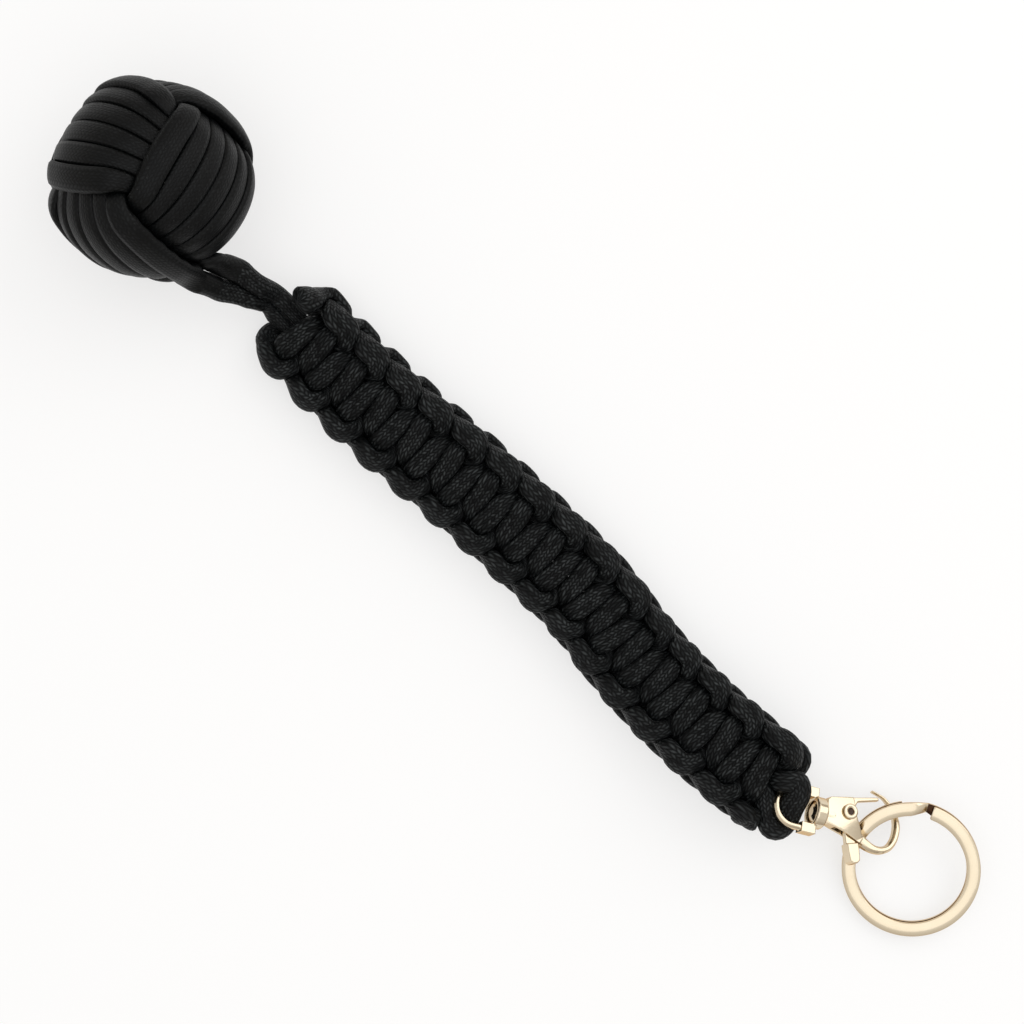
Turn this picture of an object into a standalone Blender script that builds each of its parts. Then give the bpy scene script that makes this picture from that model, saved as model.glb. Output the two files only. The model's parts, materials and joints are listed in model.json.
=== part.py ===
# Paracord keychain: a monkey's fist on a cobra-woven strap, with a swivelling
# lever hook and a split ring. Metres, +Z up, lying on a table at z = 0, with the
# origin under the middle of the whole object. +X runs from the fist to the ring.
from math import cos, pi, radians, sin, tan

import bmesh
import bpy
import numpy as np
from mathutils import Matrix, Vector

# Cord
CORD_DIAMETER = 0.0028
WINDING_CORD_DIAMETER = 0.0031
CORE_DIAMETER = 0.0029
CORD_GAP = 0.00042
CLEARANCE = 0.0003
# Air between the square ends of two cords that carry on into each other
END_GAP = 0.0005
FLAT_SHARE = 0.1

# Monkey's fist
FIST_DIAMETER = 0.0441
FIST_PASSES = 6
LOOP_POINTS = 24
FIST_CENTRE_X = -0.0376
FIST_CENTRE_Y = 0.0006
FIST_FACE_ONE = (-0.706, -0.014, 0.708)
FIST_FACE_TWO = (0.660, 0.349, 0.665)
NECK_SLOPE = radians(23)
NECK_EXIT_LOW = (0.90, -0.22, -0.30)
NECK_EXIT_HIGH = (0.92, 0.02, -0.27)

# Woven strap
HALF_KNOT_PITCH = 0.0047
HALF_KNOTS = 30
STRAP_WIDTH = 0.0211
STRAP_THICKNESS = 0.0114
WEAVE_START = 0.0033
KNOT_POINTS = 20
STRAP_ROLL = radians(18)
STRAP_END_RISE = 0.0054
# Sideways wander of the strap's middle line, at even steps along it
STRAP_WANDER = (0.0, -0.0006, 0.0, 0.0014, 0.0023, 0.0024, 0.0001, -0.0004, 0.0009)

# Swivel clasp: its own axes run along it (u), towards the gate (v) and out of its plane (w).
# Its collar and the ring lie ahead of the strap's end.
CLASP_AHEAD = 0.0148
CLASP_Y = 0.0039
CLASP_HEIGHT = 0.0093
CLASP_YAW = radians(28.5)
CLASP_PITCH = radians(18)
CLASP_ROLL = radians(22)

BAIL_WIDTH = 0.0082
BAIL_BEND = -0.0064
BAIL_WIRE = 0.0015
BAIL_DEPTH = 0.0022
EAR_LENGTH = 0.0028
EAR_WIDTH = 0.0021
COLLAR_DIAMETER = 0.0070
COLLAR_LENGTH = 0.0026
COLLAR_BACK = -0.0018
CUP_DIAMETER = 0.0050
CUP_DEPTH = 0.0014
STUD_HEAD_DIAMETER = 0.0044
STUD_HEAD_LENGTH = 0.0009
STUD_DIAMETER = 0.0022
STUD_REACH = 0.0024
STUD_SIDES = 24

# From the swivel to the nose of the hook; its outlines are shares of this
HOOK_LENGTH = 0.0199
BODY_THICKNESS = 0.0040
BODY_ROOT = 0.0037
SLOT_WIDTH = 0.0020
NECK_DIAMETER = 0.0042
HOOK_WIDTH_ROOT = 0.0024
HOOK_WIDTH = 0.0017
HOOK_DEPTH = 0.0024
LIP_WIDTH = 0.0006
LIP_DEPTH = 0.0014

RIVET_U = 0.0064
RIVET_V = 0.0015
RIVET_DIAMETER = 0.0020
RIVET_BORE = 0.0012
RIVET_HEAD = 0.0034
RIVET_HEAD_THICKNESS = 0.0005

LEVER_THICKNESS = 0.0014
LEVER_HUB = 0.0042
GATE_LENGTH = 0.0084
GATE_WIDTH = 0.0010
GATE_OFFSET = 0.0024
GATE_ANGLE = radians(13)
TAB_LENGTH = 0.0112
TAB_WIDTH = 0.0027
TAB_THICKNESS = 0.0030
TAB_ANGLE = radians(-74)

SPRING_DIAMETER = 0.0012
SPRING_WIRE = 0.0002
SPRING_TURNS = 2
SPRING_V = -0.0015

# Split ring
RING_DIAMETER = 0.030
RING_WIRE_WIDTH = 0.0030
RING_WIRE_THICKNESS = 0.00135
RING_TURN_GAP = 0.0003
RING_AHEAD = 0.0385
RING_Y = 0.0094
RING_TILT = radians(10.5)
RING_CUT = radians(115.5)
RING_CUT_GAP = radians(5)
RING_JOG = radians(25)
RING_PIVOT_U = 0.0185
RING_PIVOT_V = -0.0032

CORD_COLOUR = (0.010, 0.010, 0.011, 1.0)
GOLD_COLOUR = (0.83, 0.69, 0.47, 1.0)
STEEL_COLOUR = (0.55, 0.56, 0.58, 1.0)

for leftover in list(bpy.data.objects):
    bpy.data.objects.remove(leftover)


def material(name, colour, roughness, metallic):
    made = bpy.data.materials.new(name)
    made.use_nodes = True
    shader = made.node_tree.nodes["Principled BSDF"]
    shader.inputs["Base Color"].default_value = colour
    shader.inputs["Roughness"].default_value = roughness
    shader.inputs["Metallic"].default_value = metallic
    return made


def cord_material(name):
    return material(name, CORD_COLOUR, 0.75, 0.0)


def gold_material(name):
    return material(name, GOLD_COLOUR, 0.22, 1.0)


def empty(name, parent=None, matrix=None):
    made = bpy.data.objects.new(name, None)
    made.empty_display_size = 0.01
    bpy.context.scene.collection.objects.link(made)
    made.parent = parent
    if matrix is not None:
        made.matrix_basis = matrix
    return made


def add_object(name, data, parent, finish=None):
    made = bpy.data.objects.new(name, data)
    bpy.context.scene.collection.objects.link(made)
    made.parent = parent
    if finish is not None:
        data.materials.append(finish)
    return made


def solid(name, points, faces, parent, finish=None, sharp=radians(35)):
    mesh = bpy.data.meshes.new(name)
    work = bmesh.new()
    corners = [work.verts.new(Vector(p)) for p in points]
    for face in faces:
        work.faces.new([corners[i] for i in face])
    bmesh.ops.recalc_face_normals(work, faces=work.faces)
    work.to_mesh(mesh)
    work.free()
    mesh.shade_smooth()
    mesh.set_sharp_from_angle(angle=sharp)
    return add_object(name, mesh, parent, finish)


def skin(rings, closed=False):
    """Faces over a row of rings with equally many points, capped unless the row closes."""
    size = len(rings[0])
    points = [p for ring in rings for p in ring]
    count = len(rings)
    faces = []
    for i in range(count if closed else count - 1):
        here, after = i * size, ((i + 1) % count) * size
        for j in range(size):
            k = (j + 1) % size
            faces.append((here + j, here + k, after + k, after + j))
    if not closed:
        faces.append(tuple(range(size)))
        faces.append(tuple(range((count - 1) * size, count * size)))
    return points, faces


def turned(name, profile, parent, finish=None, steps=32, axis="u", centre=(0, 0)):
    """A closed profile of (distance along the axis, radius) turned about u or w."""
    rings = []
    for i in range(steps):
        angle = 2 * pi * i / steps
        ring = []
        for along, radius in profile:
            a, b = radius * cos(angle), radius * sin(angle)
            if axis == "u":
                ring.append((along, centre[0] + a, centre[1] + b))
            else:
                ring.append((centre[0] + a, centre[1] + b, along))
        rings.append(ring)
    points, faces = skin(rings, closed=True)
    return solid(name, points, faces, parent, finish)


def block(name, low, high, parent):
    (x0, y0, z0), (x1, y1, z1) = low, high
    points = [(x, y, z) for x in (x0, x1) for y in (y0, y1) for z in (z0, z1)]
    faces = [(0, 1, 3, 2), (4, 6, 7, 5), (0, 4, 5, 1), (2, 3, 7, 6), (0, 2, 6, 4), (1, 5, 7, 3)]
    return solid(name, points, faces, parent)


def rod(name, radius, start, end, parent, axis="u", centre=(0, 0), steps=24):
    """A plain cylinder, used to cut bores and to add bosses."""
    rings = []
    for along in (start, end):
        ring = []
        for i in range(steps):
            a, b = radius * cos(2 * pi * i / steps), radius * sin(2 * pi * i / steps)
            if axis == "u":
                ring.append((along, centre[0] + a, centre[1] + b))
            else:
                ring.append((centre[0] + a, centre[1] + b, along))
        rings.append(ring)
    points, faces = skin(rings)
    return solid(name, points, faces, parent)


def combine(target, tool, operation):
    change = target.modifiers.new(f"{operation.lower()}_{tool.name}", "BOOLEAN")
    change.operation = operation
    change.object = tool
    change.solver = "EXACT"
    tool.hide_render = True
    tool.display_type = "WIRE"


def smooth_path(points, count):
    """Even steps along a centripetal Catmull-Rom curve through the points."""
    p = np.asarray(points, float)
    p = np.vstack([2 * p[0] - p[1], p, 2 * p[-1] - p[-2]])
    t = np.concatenate([[0], np.cumsum(np.linalg.norm(np.diff(p, axis=0), axis=1) ** 0.5)])
    dense = []
    for i in range(1, len(p) - 2):
        t0, t1, t2, t3 = t[i - 1 : i + 3]
        for s in np.linspace(t1, t2, 24, endpoint=i == len(p) - 3):
            a1 = (t1 - s) / (t1 - t0) * p[i - 1] + (s - t0) / (t1 - t0) * p[i]
            a2 = (t2 - s) / (t2 - t1) * p[i] + (s - t1) / (t2 - t1) * p[i + 1]
            a3 = (t3 - s) / (t3 - t2) * p[i + 1] + (s - t2) / (t3 - t2) * p[i + 2]
            b1 = (t2 - s) / (t2 - t0) * a1 + (s - t0) / (t2 - t0) * a2
            b2 = (t3 - s) / (t3 - t1) * a2 + (s - t1) / (t3 - t1) * a3
            dense.append((t2 - s) / (t2 - t1) * b1 + (s - t1) / (t2 - t1) * b2)
    return even_steps(dense, count)


def even_steps(points, count):
    p = np.asarray(points, float)
    at = np.concatenate([[0], np.cumsum(np.linalg.norm(np.diff(p, axis=0), axis=1))])
    t = np.linspace(0, at[-1], count)
    return np.stack([np.interp(t, at, p[:, i]) for i in range(p.shape[1])], 1)


def cord_curve(name, points, diameter, parent, finish, resolution=1):
    curve = bpy.data.curves.new(name, "CURVE")
    curve.dimensions = "3D"
    curve.bevel_depth = diameter / 2
    curve.bevel_resolution = resolution
    curve.use_fill_caps = True
    curve.twist_mode = "MINIMUM"
    spline = curve.splines.new("POLY")
    spline.points.add(len(points) - 1)
    for target, point in zip(spline.points, points):
        target.co = (*point, 1.0)
    return add_object(name, curve, parent, finish)


def flattened_cord(name, points, diameter, parent, finish, floor):
    """A cord as a mesh, pressed flat where it would reach below the table."""
    curve = cord_curve(name + "_line", points, diameter, parent, finish)
    depsgraph = bpy.context.evaluated_depsgraph_get()
    mesh = bpy.data.meshes.new_from_object(curve.evaluated_get(depsgraph))
    mesh.name = name
    bpy.data.objects.remove(curve)
    for vertex in mesh.vertices:
        vertex.co.z = max(vertex.co.z, floor)
    mesh.shade_smooth()
    return add_object(name, mesh, parent)


class Strand:
    """Cord middle lines that are pushed apart until they clear each other."""

    def __init__(self, lines, period=None, per_segment=4):
        self.points = np.vstack(lines)
        self.period = np.zeros(3) if period is None else np.asarray(period, float)
        self.first, self.second, self.part, self.shift = [], [], [], []
        self.line, self.place, self.length = [], [], []
        start = 0
        for number, line in enumerate(lines):
            count = len(line)
            for i in range(count if period is not None else count - 1):
                for k in range(per_segment):
                    self.first.append(start + i)
                    self.second.append(start + (i + 1) % count)
                    self.part.append(k / per_segment)
                    self.shift.append(float(i + 1 == count))
                    self.line.append(number)
                    self.place.append(i + k / per_segment)
                    self.length.append(count)
            start += count
        self.bounds = np.cumsum([0] + [len(line) for line in lines])
        for key in ("first", "second", "part", "shift", "line", "place", "length"):
            setattr(self, key, np.asarray(getattr(self, key)))
        self.images = (0,) if period is None else (-1, 0, 1)

    def samples(self):
        t = self.part[:, None]
        after = self.points[self.second] + self.shift[:, None] * self.period
        return (1 - t) * self.points[self.first] + t * after

    def near_pairs(self, reach, skip):
        s = self.samples()
        found = []
        for image in self.images:
            other = s + image * self.period
            square = (s**2).sum(1)[:, None] + (other**2).sum(1)[None, :] - 2 * s @ other.T
            steps = self.place[:, None] - self.place[None, :] - image * self.length[None, :]
            same = (self.line[:, None] == self.line[None, :]) & (np.abs(steps) <= skip)
            i, j = np.nonzero((square < reach**2) & ~same)
            found.append(np.stack([i, j, np.full(len(i), image)], 1))
        return np.vstack(found)

    def least(self, skip):
        s = self.samples()
        pairs = self.near_pairs(1.0e9, skip)
        gap = s[pairs[:, 0]] - s[pairs[:, 1]] - pairs[:, 2:3] * self.period
        return float(np.sqrt((gap**2).sum(1)).min())

    def relax(self, amount, fixed):
        p = self.points
        moved = p.copy()
        for low, high in zip(self.bounds[:-1], self.bounds[1:]):
            line = p[low:high]
            before, after = np.roll(line, 1, axis=0), np.roll(line, -1, axis=0)
            before[0] -= self.period
            after[-1] += self.period
            if not self.period.any():
                before[0], after[-1] = line[0], line[-1]
            moved[low:high] = line + amount * ((before + after) / 2 - line)
        self.points = np.where(fixed[:, None], p, moved)

    def push(self, pairs, distance, fixed):
        s = self.samples()
        i, j = pairs[:, 0], pairs[:, 1]
        gap = s[i] - s[j] - pairs[:, 2:3] * self.period
        length = np.sqrt((gap**2).sum(1))
        short = length < distance
        i, gap, length = i[short], gap[short], length[short]
        step = gap / np.maximum(length, 1e-9)[:, None] * ((distance - length) / 2)[:, None]
        move = np.zeros_like(self.points)
        hits = np.zeros(len(self.points))
        for ends, weight in ((self.first[i], 1 - self.part[i]), (self.second[i], self.part[i])):
            np.add.at(move, ends, step * weight[:, None])
            np.add.at(hits, ends, 0.6 * weight)
        move[fixed] = 0
        self.points = self.points + move / np.maximum(hits, 0.75)[:, None]

    def clear_cores(self, cores):
        """Keeps every sample outside the straight cords that the weave is tied round."""
        for across, room in cores:
            s = self.samples()
            away = s[:, 1:] - (across, 0)
            length = np.sqrt((away**2).sum(1))
            short = length < room
            step = away[short] / length[short][:, None] * (room - length[short])[:, None]
            move = np.zeros_like(self.points)
            hits = np.zeros(len(self.points))
            for ends, weight in (
                (self.first[short], 1 - self.part[short]),
                (self.second[short], self.part[short]),
            ):
                np.add.at(move[:, 1:], ends, step * weight[:, None])
                np.add.at(hits, ends, 0.6 * weight)
            self.points = self.points + move / np.maximum(hits, 0.75)[:, None]

    def settle(
        self, distance, rounds, limit, skip, fixed=None, smoothing=0.12, ease=0.0, grow=0.35, cores=()
    ):
        fixed = np.zeros(len(self.points), bool) if fixed is None else fixed
        for turn in range(rounds):
            share = turn / rounds
            wanted = distance * min(1.0, grow + (1 - grow) * share / 0.6)
            if turn % 10 == 0:
                pairs = self.near_pairs(wanted * 1.35, skip)
            self.relax(smoothing * max(ease, min(1.0, 2.4 * (1 - share))), fixed)
            for _ in range(3):
                self.push(pairs, wanted, fixed)
                self.clear_cores(cores)
                kept = self.points[fixed]
                self.points = limit(self.points)
                self.points[fixed] = kept
        return self.least(skip)


def fist_axes():
    one = Vector(FIST_FACE_ONE).normalized()
    two = Vector(FIST_FACE_TWO)
    two = (two - one * two.dot(one)).normalized()
    return np.array([one, two, one.cross(two)])


def fist_line():
    """The winding's middle line about the fist's centre, from one neck end to the other."""
    outer = (FIST_DIAMETER - WINDING_CORD_DIAMETER) / 2
    spacing = WINDING_CORD_DIAMETER + CORD_GAP
    inner = outer - spacing
    bands = (
        (135, FIST_PASSES, lambda a, b, c: (a, b, c)),
        (45, FIST_PASSES + 0.25, lambda a, b, c: (c, a, b)),
        (45, FIST_PASSES - 0.5, lambda a, b, c: (b, c, a)),
    )
    line = []
    for start, turns, order in bands:
        steps = round(turns * LOOP_POINTS)
        for i in range(steps + 1):
            angle = radians(start) + 2 * pi * i / LOOP_POINTS
            rise = radians(-43 + 86 * i / steps)
            share = (1 + np.clip(1.9 * cos(2 * angle), -1, 1)) / 2
            radius = inner + (outer - inner) * share
            place = (radius * cos(angle) * cos(rise), radius * sin(angle) * cos(rise), radius * sin(rise))
            line.append(order(*place))
    line = np.array(line) @ fist_axes()
    leads = []
    for exit_way, end in ((NECK_EXIT_LOW, line[0]), (NECK_EXIT_HIGH, line[-1])):
        way = np.array(Vector(exit_way).normalized())
        out = way * (FIST_DIAMETER / 2 + WINDING_CORD_DIAMETER * 0.9)
        side = end / np.linalg.norm(end)
        over = side + way
        over = over / np.linalg.norm(over) * (outer + spacing)
        leads.append([out + neck_run() * WINDING_CORD_DIAMETER, out, over])
    return np.vstack([leads[0], line, leads[1][::-1]]), outer, inner


def neck_run():
    """The way the two cords leave the fist, towards the strap."""
    return np.array([cos(NECK_SLOPE), 0.0, -sin(NECK_SLOPE)])


def settled_fist():
    line, outer, inner = fist_line()
    count = len(line)
    fixed = np.zeros(count, bool)
    fixed[[0, 1, count - 2, count - 1]] = True
    lead = np.zeros(count, bool)
    lead[:7] = True
    lead[-7:] = True

    def shell(points):
        radius = np.linalg.norm(points, axis=1)
        most = np.where(lead, outer + 2 * WINDING_CORD_DIAMETER, outer)
        wanted = np.clip(radius, inner - 0.7 * WINDING_CORD_DIAMETER, most)
        return points * (wanted / radius)[:, None]

    strand = Strand([line])
    spacing = WINDING_CORD_DIAMETER + CORD_GAP + 0.0002
    gap = strand.settle(spacing, 400, shell, skip=2.6, fixed=fixed, smoothing=0.06)
    print("fist winding: least gap to itself", round((gap - WINDING_CORD_DIAMETER) * 1000, 3), "mm")
    hollow = np.linalg.norm(strand.samples(), axis=1).min() - WINDING_CORD_DIAMETER / 2
    return strand.points, hollow


def bent_steps(line, period, count):
    """Fewer points on a repeating line, set closer where it bends."""
    before, after = np.roll(line, 1, axis=0), np.roll(line, -1, axis=0)
    before[0] -= period
    after[-1] += period
    ahead, behind = after - line, line - before
    ahead /= np.linalg.norm(ahead, axis=1)[:, None]
    behind /= np.linalg.norm(behind, axis=1)[:, None]
    turn = np.arccos(np.clip((ahead * behind).sum(1), -1, 1))
    turn = (turn + np.roll(turn, 1) + np.roll(turn, -1)) / 3
    closed = np.vstack([line, line[:1] + period])
    length = np.linalg.norm(np.diff(closed, axis=0), axis=1)
    weight = length / length.mean() + 1.6 * (turn + np.roll(turn, -1)) / (2 * turn.mean())
    at = np.concatenate([[0], np.cumsum(weight)])
    steps = np.linspace(0, at[-1], count + 1)[:-1]
    return np.stack([np.interp(steps, at, closed[:, i]) for i in range(3)], 1)


def knot_unit():
    """Middle lines of both weaving cords over two half knots, about the strap's middle line."""
    p = HALF_KNOT_PITCH
    lead = 0.28 * p
    edge = (STRAP_WIDTH - CORD_DIAMETER) / 2
    front = (STRAP_THICKNESS - CORD_DIAMETER) / 2
    binding = [
        (-p + lead, -0.636 * edge, 0),
        (-p + 1.5 * lead, -0.739 * edge, front),
        (0, -0.932 * edge, 0.35 * front),
        (p - 1.5 * lead, -0.739 * edge, front),
        (p - lead, -0.636 * edge, 0),
        (p - 1.2 * lead, -0.455 * edge, -front),
        (0.5 * p, 0, -front),
        (1.2 * lead, 0.455 * edge, -front),
        (lead, 0.636 * edge, 0),
    ]
    half = [(x + p, -y, z) for x, y, z in binding[1:]]
    binding = binding + half
    front_bar = [
        (-0.5 * p, 0, front),
        (-0.45 * p, 0.511 * edge, 0.7 * front),
        (-0.35 * p, 0.773 * edge, 0),
        (0, edge, -0.07 * front),
        (0.35 * p, 0.773 * edge, 0),
        (0.45 * p, 0.511 * edge, 0.7 * front),
        (0.5 * p, 0, front),
    ]
    half = [(x + p, -y, z) for x, y, z in front_bar[1:]]
    front_bar = front_bar + half
    fine = 2 * KNOT_POINTS
    lines = [even_steps(line, fine + 1)[:-1] for line in (front_bar, binding)]
    period = (2 * p, 0, 0)
    core_room = (CORE_DIAMETER + CORD_DIAMETER) / 2 + CLEARANCE

    def room(points):
        held = points.copy()
        for core in (-core_offset(), core_offset()):
            away = held[:, 1:] - (core, 0)
            length = np.sqrt((away**2).sum(1))
            grow = np.maximum(1, (core_room + 0.0002) / np.maximum(length, 1e-9))
            held[:, 1:] = (core, 0) + away * grow[:, None]
        held[:, 1] = np.clip(held[:, 1], -edge, edge)
        held[:, 2] = np.clip(held[:, 2], -front, front)
        return held

    strand = Strand(lines, period, per_segment=1)
    spacing = CORD_DIAMETER + CORD_GAP
    strand.settle(spacing + 0.0006, 900, room, skip=6, smoothing=0.3, ease=0.6)
    halves = (strand.points[:fine], strand.points[fine:])
    lines = [bent_steps(line, period, KNOT_POINTS) for line in halves]
    strand = Strand(lines, period)
    cores = ((-core_offset(), core_room + 0.00005), (core_offset(), core_room + 0.00005))
    gap = strand.settle(
        spacing + 0.0002, 60, room, skip=2.6, smoothing=0.02, ease=1.0, grow=1.0, cores=cores
    )
    print("weave: least gap to itself", round((gap - CORD_DIAMETER) * 1000, 3), "mm")
    return strand.points[:KNOT_POINTS], strand.points[KNOT_POINTS:]


def core_offset():
    return (CORE_DIAMETER + CORD_GAP) / 2



def strap_length():
    return WEAVE_START + HALF_KNOTS * HALF_KNOT_PITCH


def strap_middle(x):
    """Height above the table, roll and sideways place of the strap at x."""
    length = strap_length()
    share = min(max(x / length, 0.0), 1.0)
    roll = STRAP_ROLL * (1 - min(share / 0.75, 1.0)) ** 1.2
    flat = STRAP_THICKNESS / 2
    half = STRAP_WIDTH / 2
    height = flat * cos(roll) + 0.42 * half * sin(roll)
    rise = max(0.0, (share - 0.72) / 0.28)
    height += STRAP_END_RISE * rise**2 * (3 - 2 * rise)
    return Vector((x, float(np.interp(x, wander_x(), wander_y())), height - table_sink())), roll


def wander_x():
    return np.linspace(0, strap_length(), 8 * (len(STRAP_WANDER) - 1) + 1)


def wander_y():
    steps = np.linspace(0, strap_length(), len(STRAP_WANDER))
    path = smooth_path(np.stack([steps, STRAP_WANDER], 1), 400)
    return np.interp(wander_x(), path[:, 0], path[:, 1])


def table_sink():
    return FLAT_SHARE * CORD_DIAMETER


def on_strap(point):
    """Carries a point given along, across and above the strap's middle line onto that line."""
    x, y, z = (float(v) for v in point)
    middle, roll = strap_middle(x)
    ahead, _ = strap_middle(x + 0.0005)
    behind, _ = strap_middle(x - 0.0005)
    along = (ahead - behind).normalized()
    side = (Vector((0, 0, 1)).cross(along)).normalized()
    up = along.cross(side)
    across = side * cos(roll) + up * sin(roll)
    above = up * cos(roll) - side * sin(roll)
    return middle + across * y + above * z


def weave_line():
    """One cord: down the strap as front bars, round the cores and back as the binding cord."""
    front_bar, binding = knot_unit()
    p = HALF_KNOT_PITCH
    edge = (STRAP_WIDTH - CORD_DIAMETER) / 2
    front = (STRAP_THICKNESS - CORD_DIAMETER) / 2
    units = HALF_KNOTS // 2
    step = np.array([2 * p, 0, 0])
    out = np.vstack([front_bar + k * step for k in range(units)] + [front_bar[:6] + units * step])
    back = np.vstack([binding + k * step for k in range(units)] + [binding[:4] + units * step])
    turn = np.array(
        [
            (0.90 * p, 0.68 * edge, -front),
            (0.84 * p, 0.22 * edge, -0.98 * front),
            (0.82 * p, -0.33 * edge, -0.98 * front),
            (0.90 * p, -0.79 * edge, -0.83 * front),
            (0.98 * p, -edge, -0.08 * front),
            (0.72 * p, -edge, 0.62 * front),
        ]
    )
    first_end = np.array([(-0.74 * p, edge, 0.58 * front), (-0.42 * p, edge, 0.16 * front)])
    line = np.vstack([first_end, out[3:], turn + units * step, back[::-1]])
    line[:, 0] += WEAVE_START
    return [on_strap(point) for point in line]


def core_end_x():
    return strap_length() + 0.2 * HALF_KNOT_PITCH


def make_strap(parent):
    flattened_cord("weave_cord", weave_line(), CORD_DIAMETER, parent, cord_material("weave_cord"), 0.0)
    for name, side in (("core_cord_left", 1), ("core_cord_right", -1)):
        places = np.linspace(-CLEARANCE, core_end_x(), 28)
        points = [on_strap((x, side * core_offset(), 0)) for x in places]
        cord_curve(name, points, CORE_DIAMETER, parent, cord_material(name))


def make_neck(parent, fist_centre, ends):
    """The two free cords between the fist and the strap."""
    run = Vector(neck_run())
    for name, end, side in (("neck_cord_lower", ends[0], -1), ("neck_cord_upper", ends[1], 1)):
        start = fist_centre + Vector(end) + run * END_GAP
        offset = (WINDING_CORD_DIAMETER + CORD_GAP) / 2 * side
        route = [start, start + run * WINDING_CORD_DIAMETER]
        for x in (-WINDING_CORD_DIAMETER - 2 * END_GAP, -2 * END_GAP):
            route.append(on_strap((x, offset, 0)))
        cord_curve(name, smooth_path(route, 12), WINDING_CORD_DIAMETER, parent, cord_material(name))


def make_core_loop(parent, clasp):
    """The bend that joins both cores, over one arm of the bail and under the other."""
    inside = BAIL_WIDTH / 2
    over = (BAIL_DEPTH + CORE_DIAMETER) / 2 + CLEARANCE
    bend = BAIL_BEND
    start = core_end_x() + END_GAP
    straight = start + 0.3 * CORE_DIAMETER
    route = [on_strap((x, core_offset(), 0)) for x in (start, straight)]
    for u, v, w in (
        (bend - inside, inside + 0.0004, over),
        (bend - 0.0019, inside + 0.0006, over + 0.0004),
        (bend - 0.0004, inside - 0.0012, over - 0.0003),
        (bend - 0.0004, 0.0, 0.0),
        (bend - 0.0006, -inside + 0.0008, -over),
        (bend - 0.0022, -inside - 0.0004, -over - 0.0003),
        (bend - inside - 0.0004, -inside + 0.0010, -over - 0.0002),
    ):
        route.append(clasp @ Vector((u, v, w)))
    for x in (straight, start):
        route.append(on_strap((x, -core_offset(), 0)))
    points = smooth_path(route, 34)
    cord_curve("core_loop", points, CORE_DIAMETER, parent, cord_material("core_loop"))


def clasp_frame():
    """The clasp's axes: u along it and downwards, v towards the gate, w out of its plane."""
    turn = Matrix.Rotation(CLASP_YAW, 4, "Z") @ Matrix.Rotation(CLASP_PITCH, 4, "Y")
    turn = turn @ Matrix.Rotation(-CLASP_ROLL, 4, "X")
    return Matrix.Translation((strap_length() + CLASP_AHEAD, CLASP_Y, CLASP_HEIGHT)) @ turn


def flat_sweep(name, path, widths, depths, parent, finish=None, corners=8, square=0.6):
    """A rounded bar swept along a path in the u-v plane, with its width and depth at each point."""
    path = np.asarray(path, float)
    ahead = np.gradient(path, axis=0)
    ahead /= np.linalg.norm(ahead, axis=1)[:, None]
    rings = []
    for (u, v), (du, dv), width, depth in zip(path, ahead, widths, depths):
        ring = []
        for i in range(corners):
            angle = 2 * pi * (i + 0.5) / corners
            a, b = cos(angle), sin(angle)
            grow = 1 / max(abs(a), abs(b)) ** square / 1.08**square
            n, w = a * grow * width / 2, b * grow * depth / 2
            ring.append((u - dv * n, v + du * n, w))
        rings.append(ring)
    points, faces = skin(rings)
    return solid(name, points, faces, parent, finish)


def plate(name, outline, thickness, parent, finish=None, round_edge=0.0002):
    """An outline in the u-v plane, extruded evenly to both sides, with its long edges eased."""
    count = len(outline)
    points = [(u, v, side * thickness / 2) for side in (-1, 1) for u, v in outline]
    faces = [tuple(range(count - 1, -1, -1)), tuple(range(count, 2 * count))]
    faces += [(i, (i + 1) % count, count + (i + 1) % count, count + i) for i in range(count)]
    made = solid(name, points, faces, parent, finish)
    if round_edge:
        work = bmesh.new()
        work.from_mesh(made.data)
        rims = [e for e in work.edges if abs(e.verts[0].co.z - e.verts[1].co.z) < 1e-9]
        bmesh.ops.bevel(work, geom=rims, offset=round_edge, segments=2, affect="EDGES", profile=0.5)
        work.to_mesh(made.data)
        work.free()
        made.data.set_sharp_from_angle(angle=radians(40))
    return made


def make_bail(parent):
    half = BAIL_WIDTH / 2
    ear_start = COLLAR_BACK - 0.4 * EAR_LENGTH
    path = [(ear_start, half)]
    path += [(BAIL_BEND + half * cos(a), half * sin(a)) for a in np.linspace(pi / 2, 3 * pi / 2, 17)]
    path += [(ear_start, -half)]
    path = even_steps(path, 30)
    bail = flat_sweep(
        "clasp_bail",
        path,
        [BAIL_WIRE] * len(path),
        [BAIL_DEPTH] * len(path),
        parent,
        gold_material("clasp_bail"),
    )
    outer = COLLAR_DIAMETER / 2
    bore = STUD_DIAMETER / 2 + CLEARANCE
    front = COLLAR_BACK + COLLAR_LENGTH
    floor = COLLAR_BACK + CUP_DEPTH
    profile = [
        (COLLAR_BACK, CUP_DIAMETER / 2),
        (COLLAR_BACK, outer - 0.0003),
        (COLLAR_BACK + 0.0003, outer),
        (front - 0.0003, outer),
        (front, outer - 0.0003),
        (front, bore),
        (floor, bore),
        (floor, CUP_DIAMETER / 2),
    ]
    combine(bail, turned("collar", profile, parent), "UNION")
    for name, side in (("upper_ear", 1), ("lower_ear", -1)):
        low_v, high_v = sorted((side * (CUP_DIAMETER / 2 + 0.0004), side * (half + EAR_WIDTH / 2)))
        low = (COLLAR_BACK - EAR_LENGTH + 0.0002, low_v, -BAIL_DEPTH / 2 - 0.0003)
        high = (COLLAR_BACK + 0.0008, high_v, BAIL_DEPTH / 2 + 0.0003)
        combine(bail, block(name, low, high, parent), "UNION")
    return bail


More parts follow.
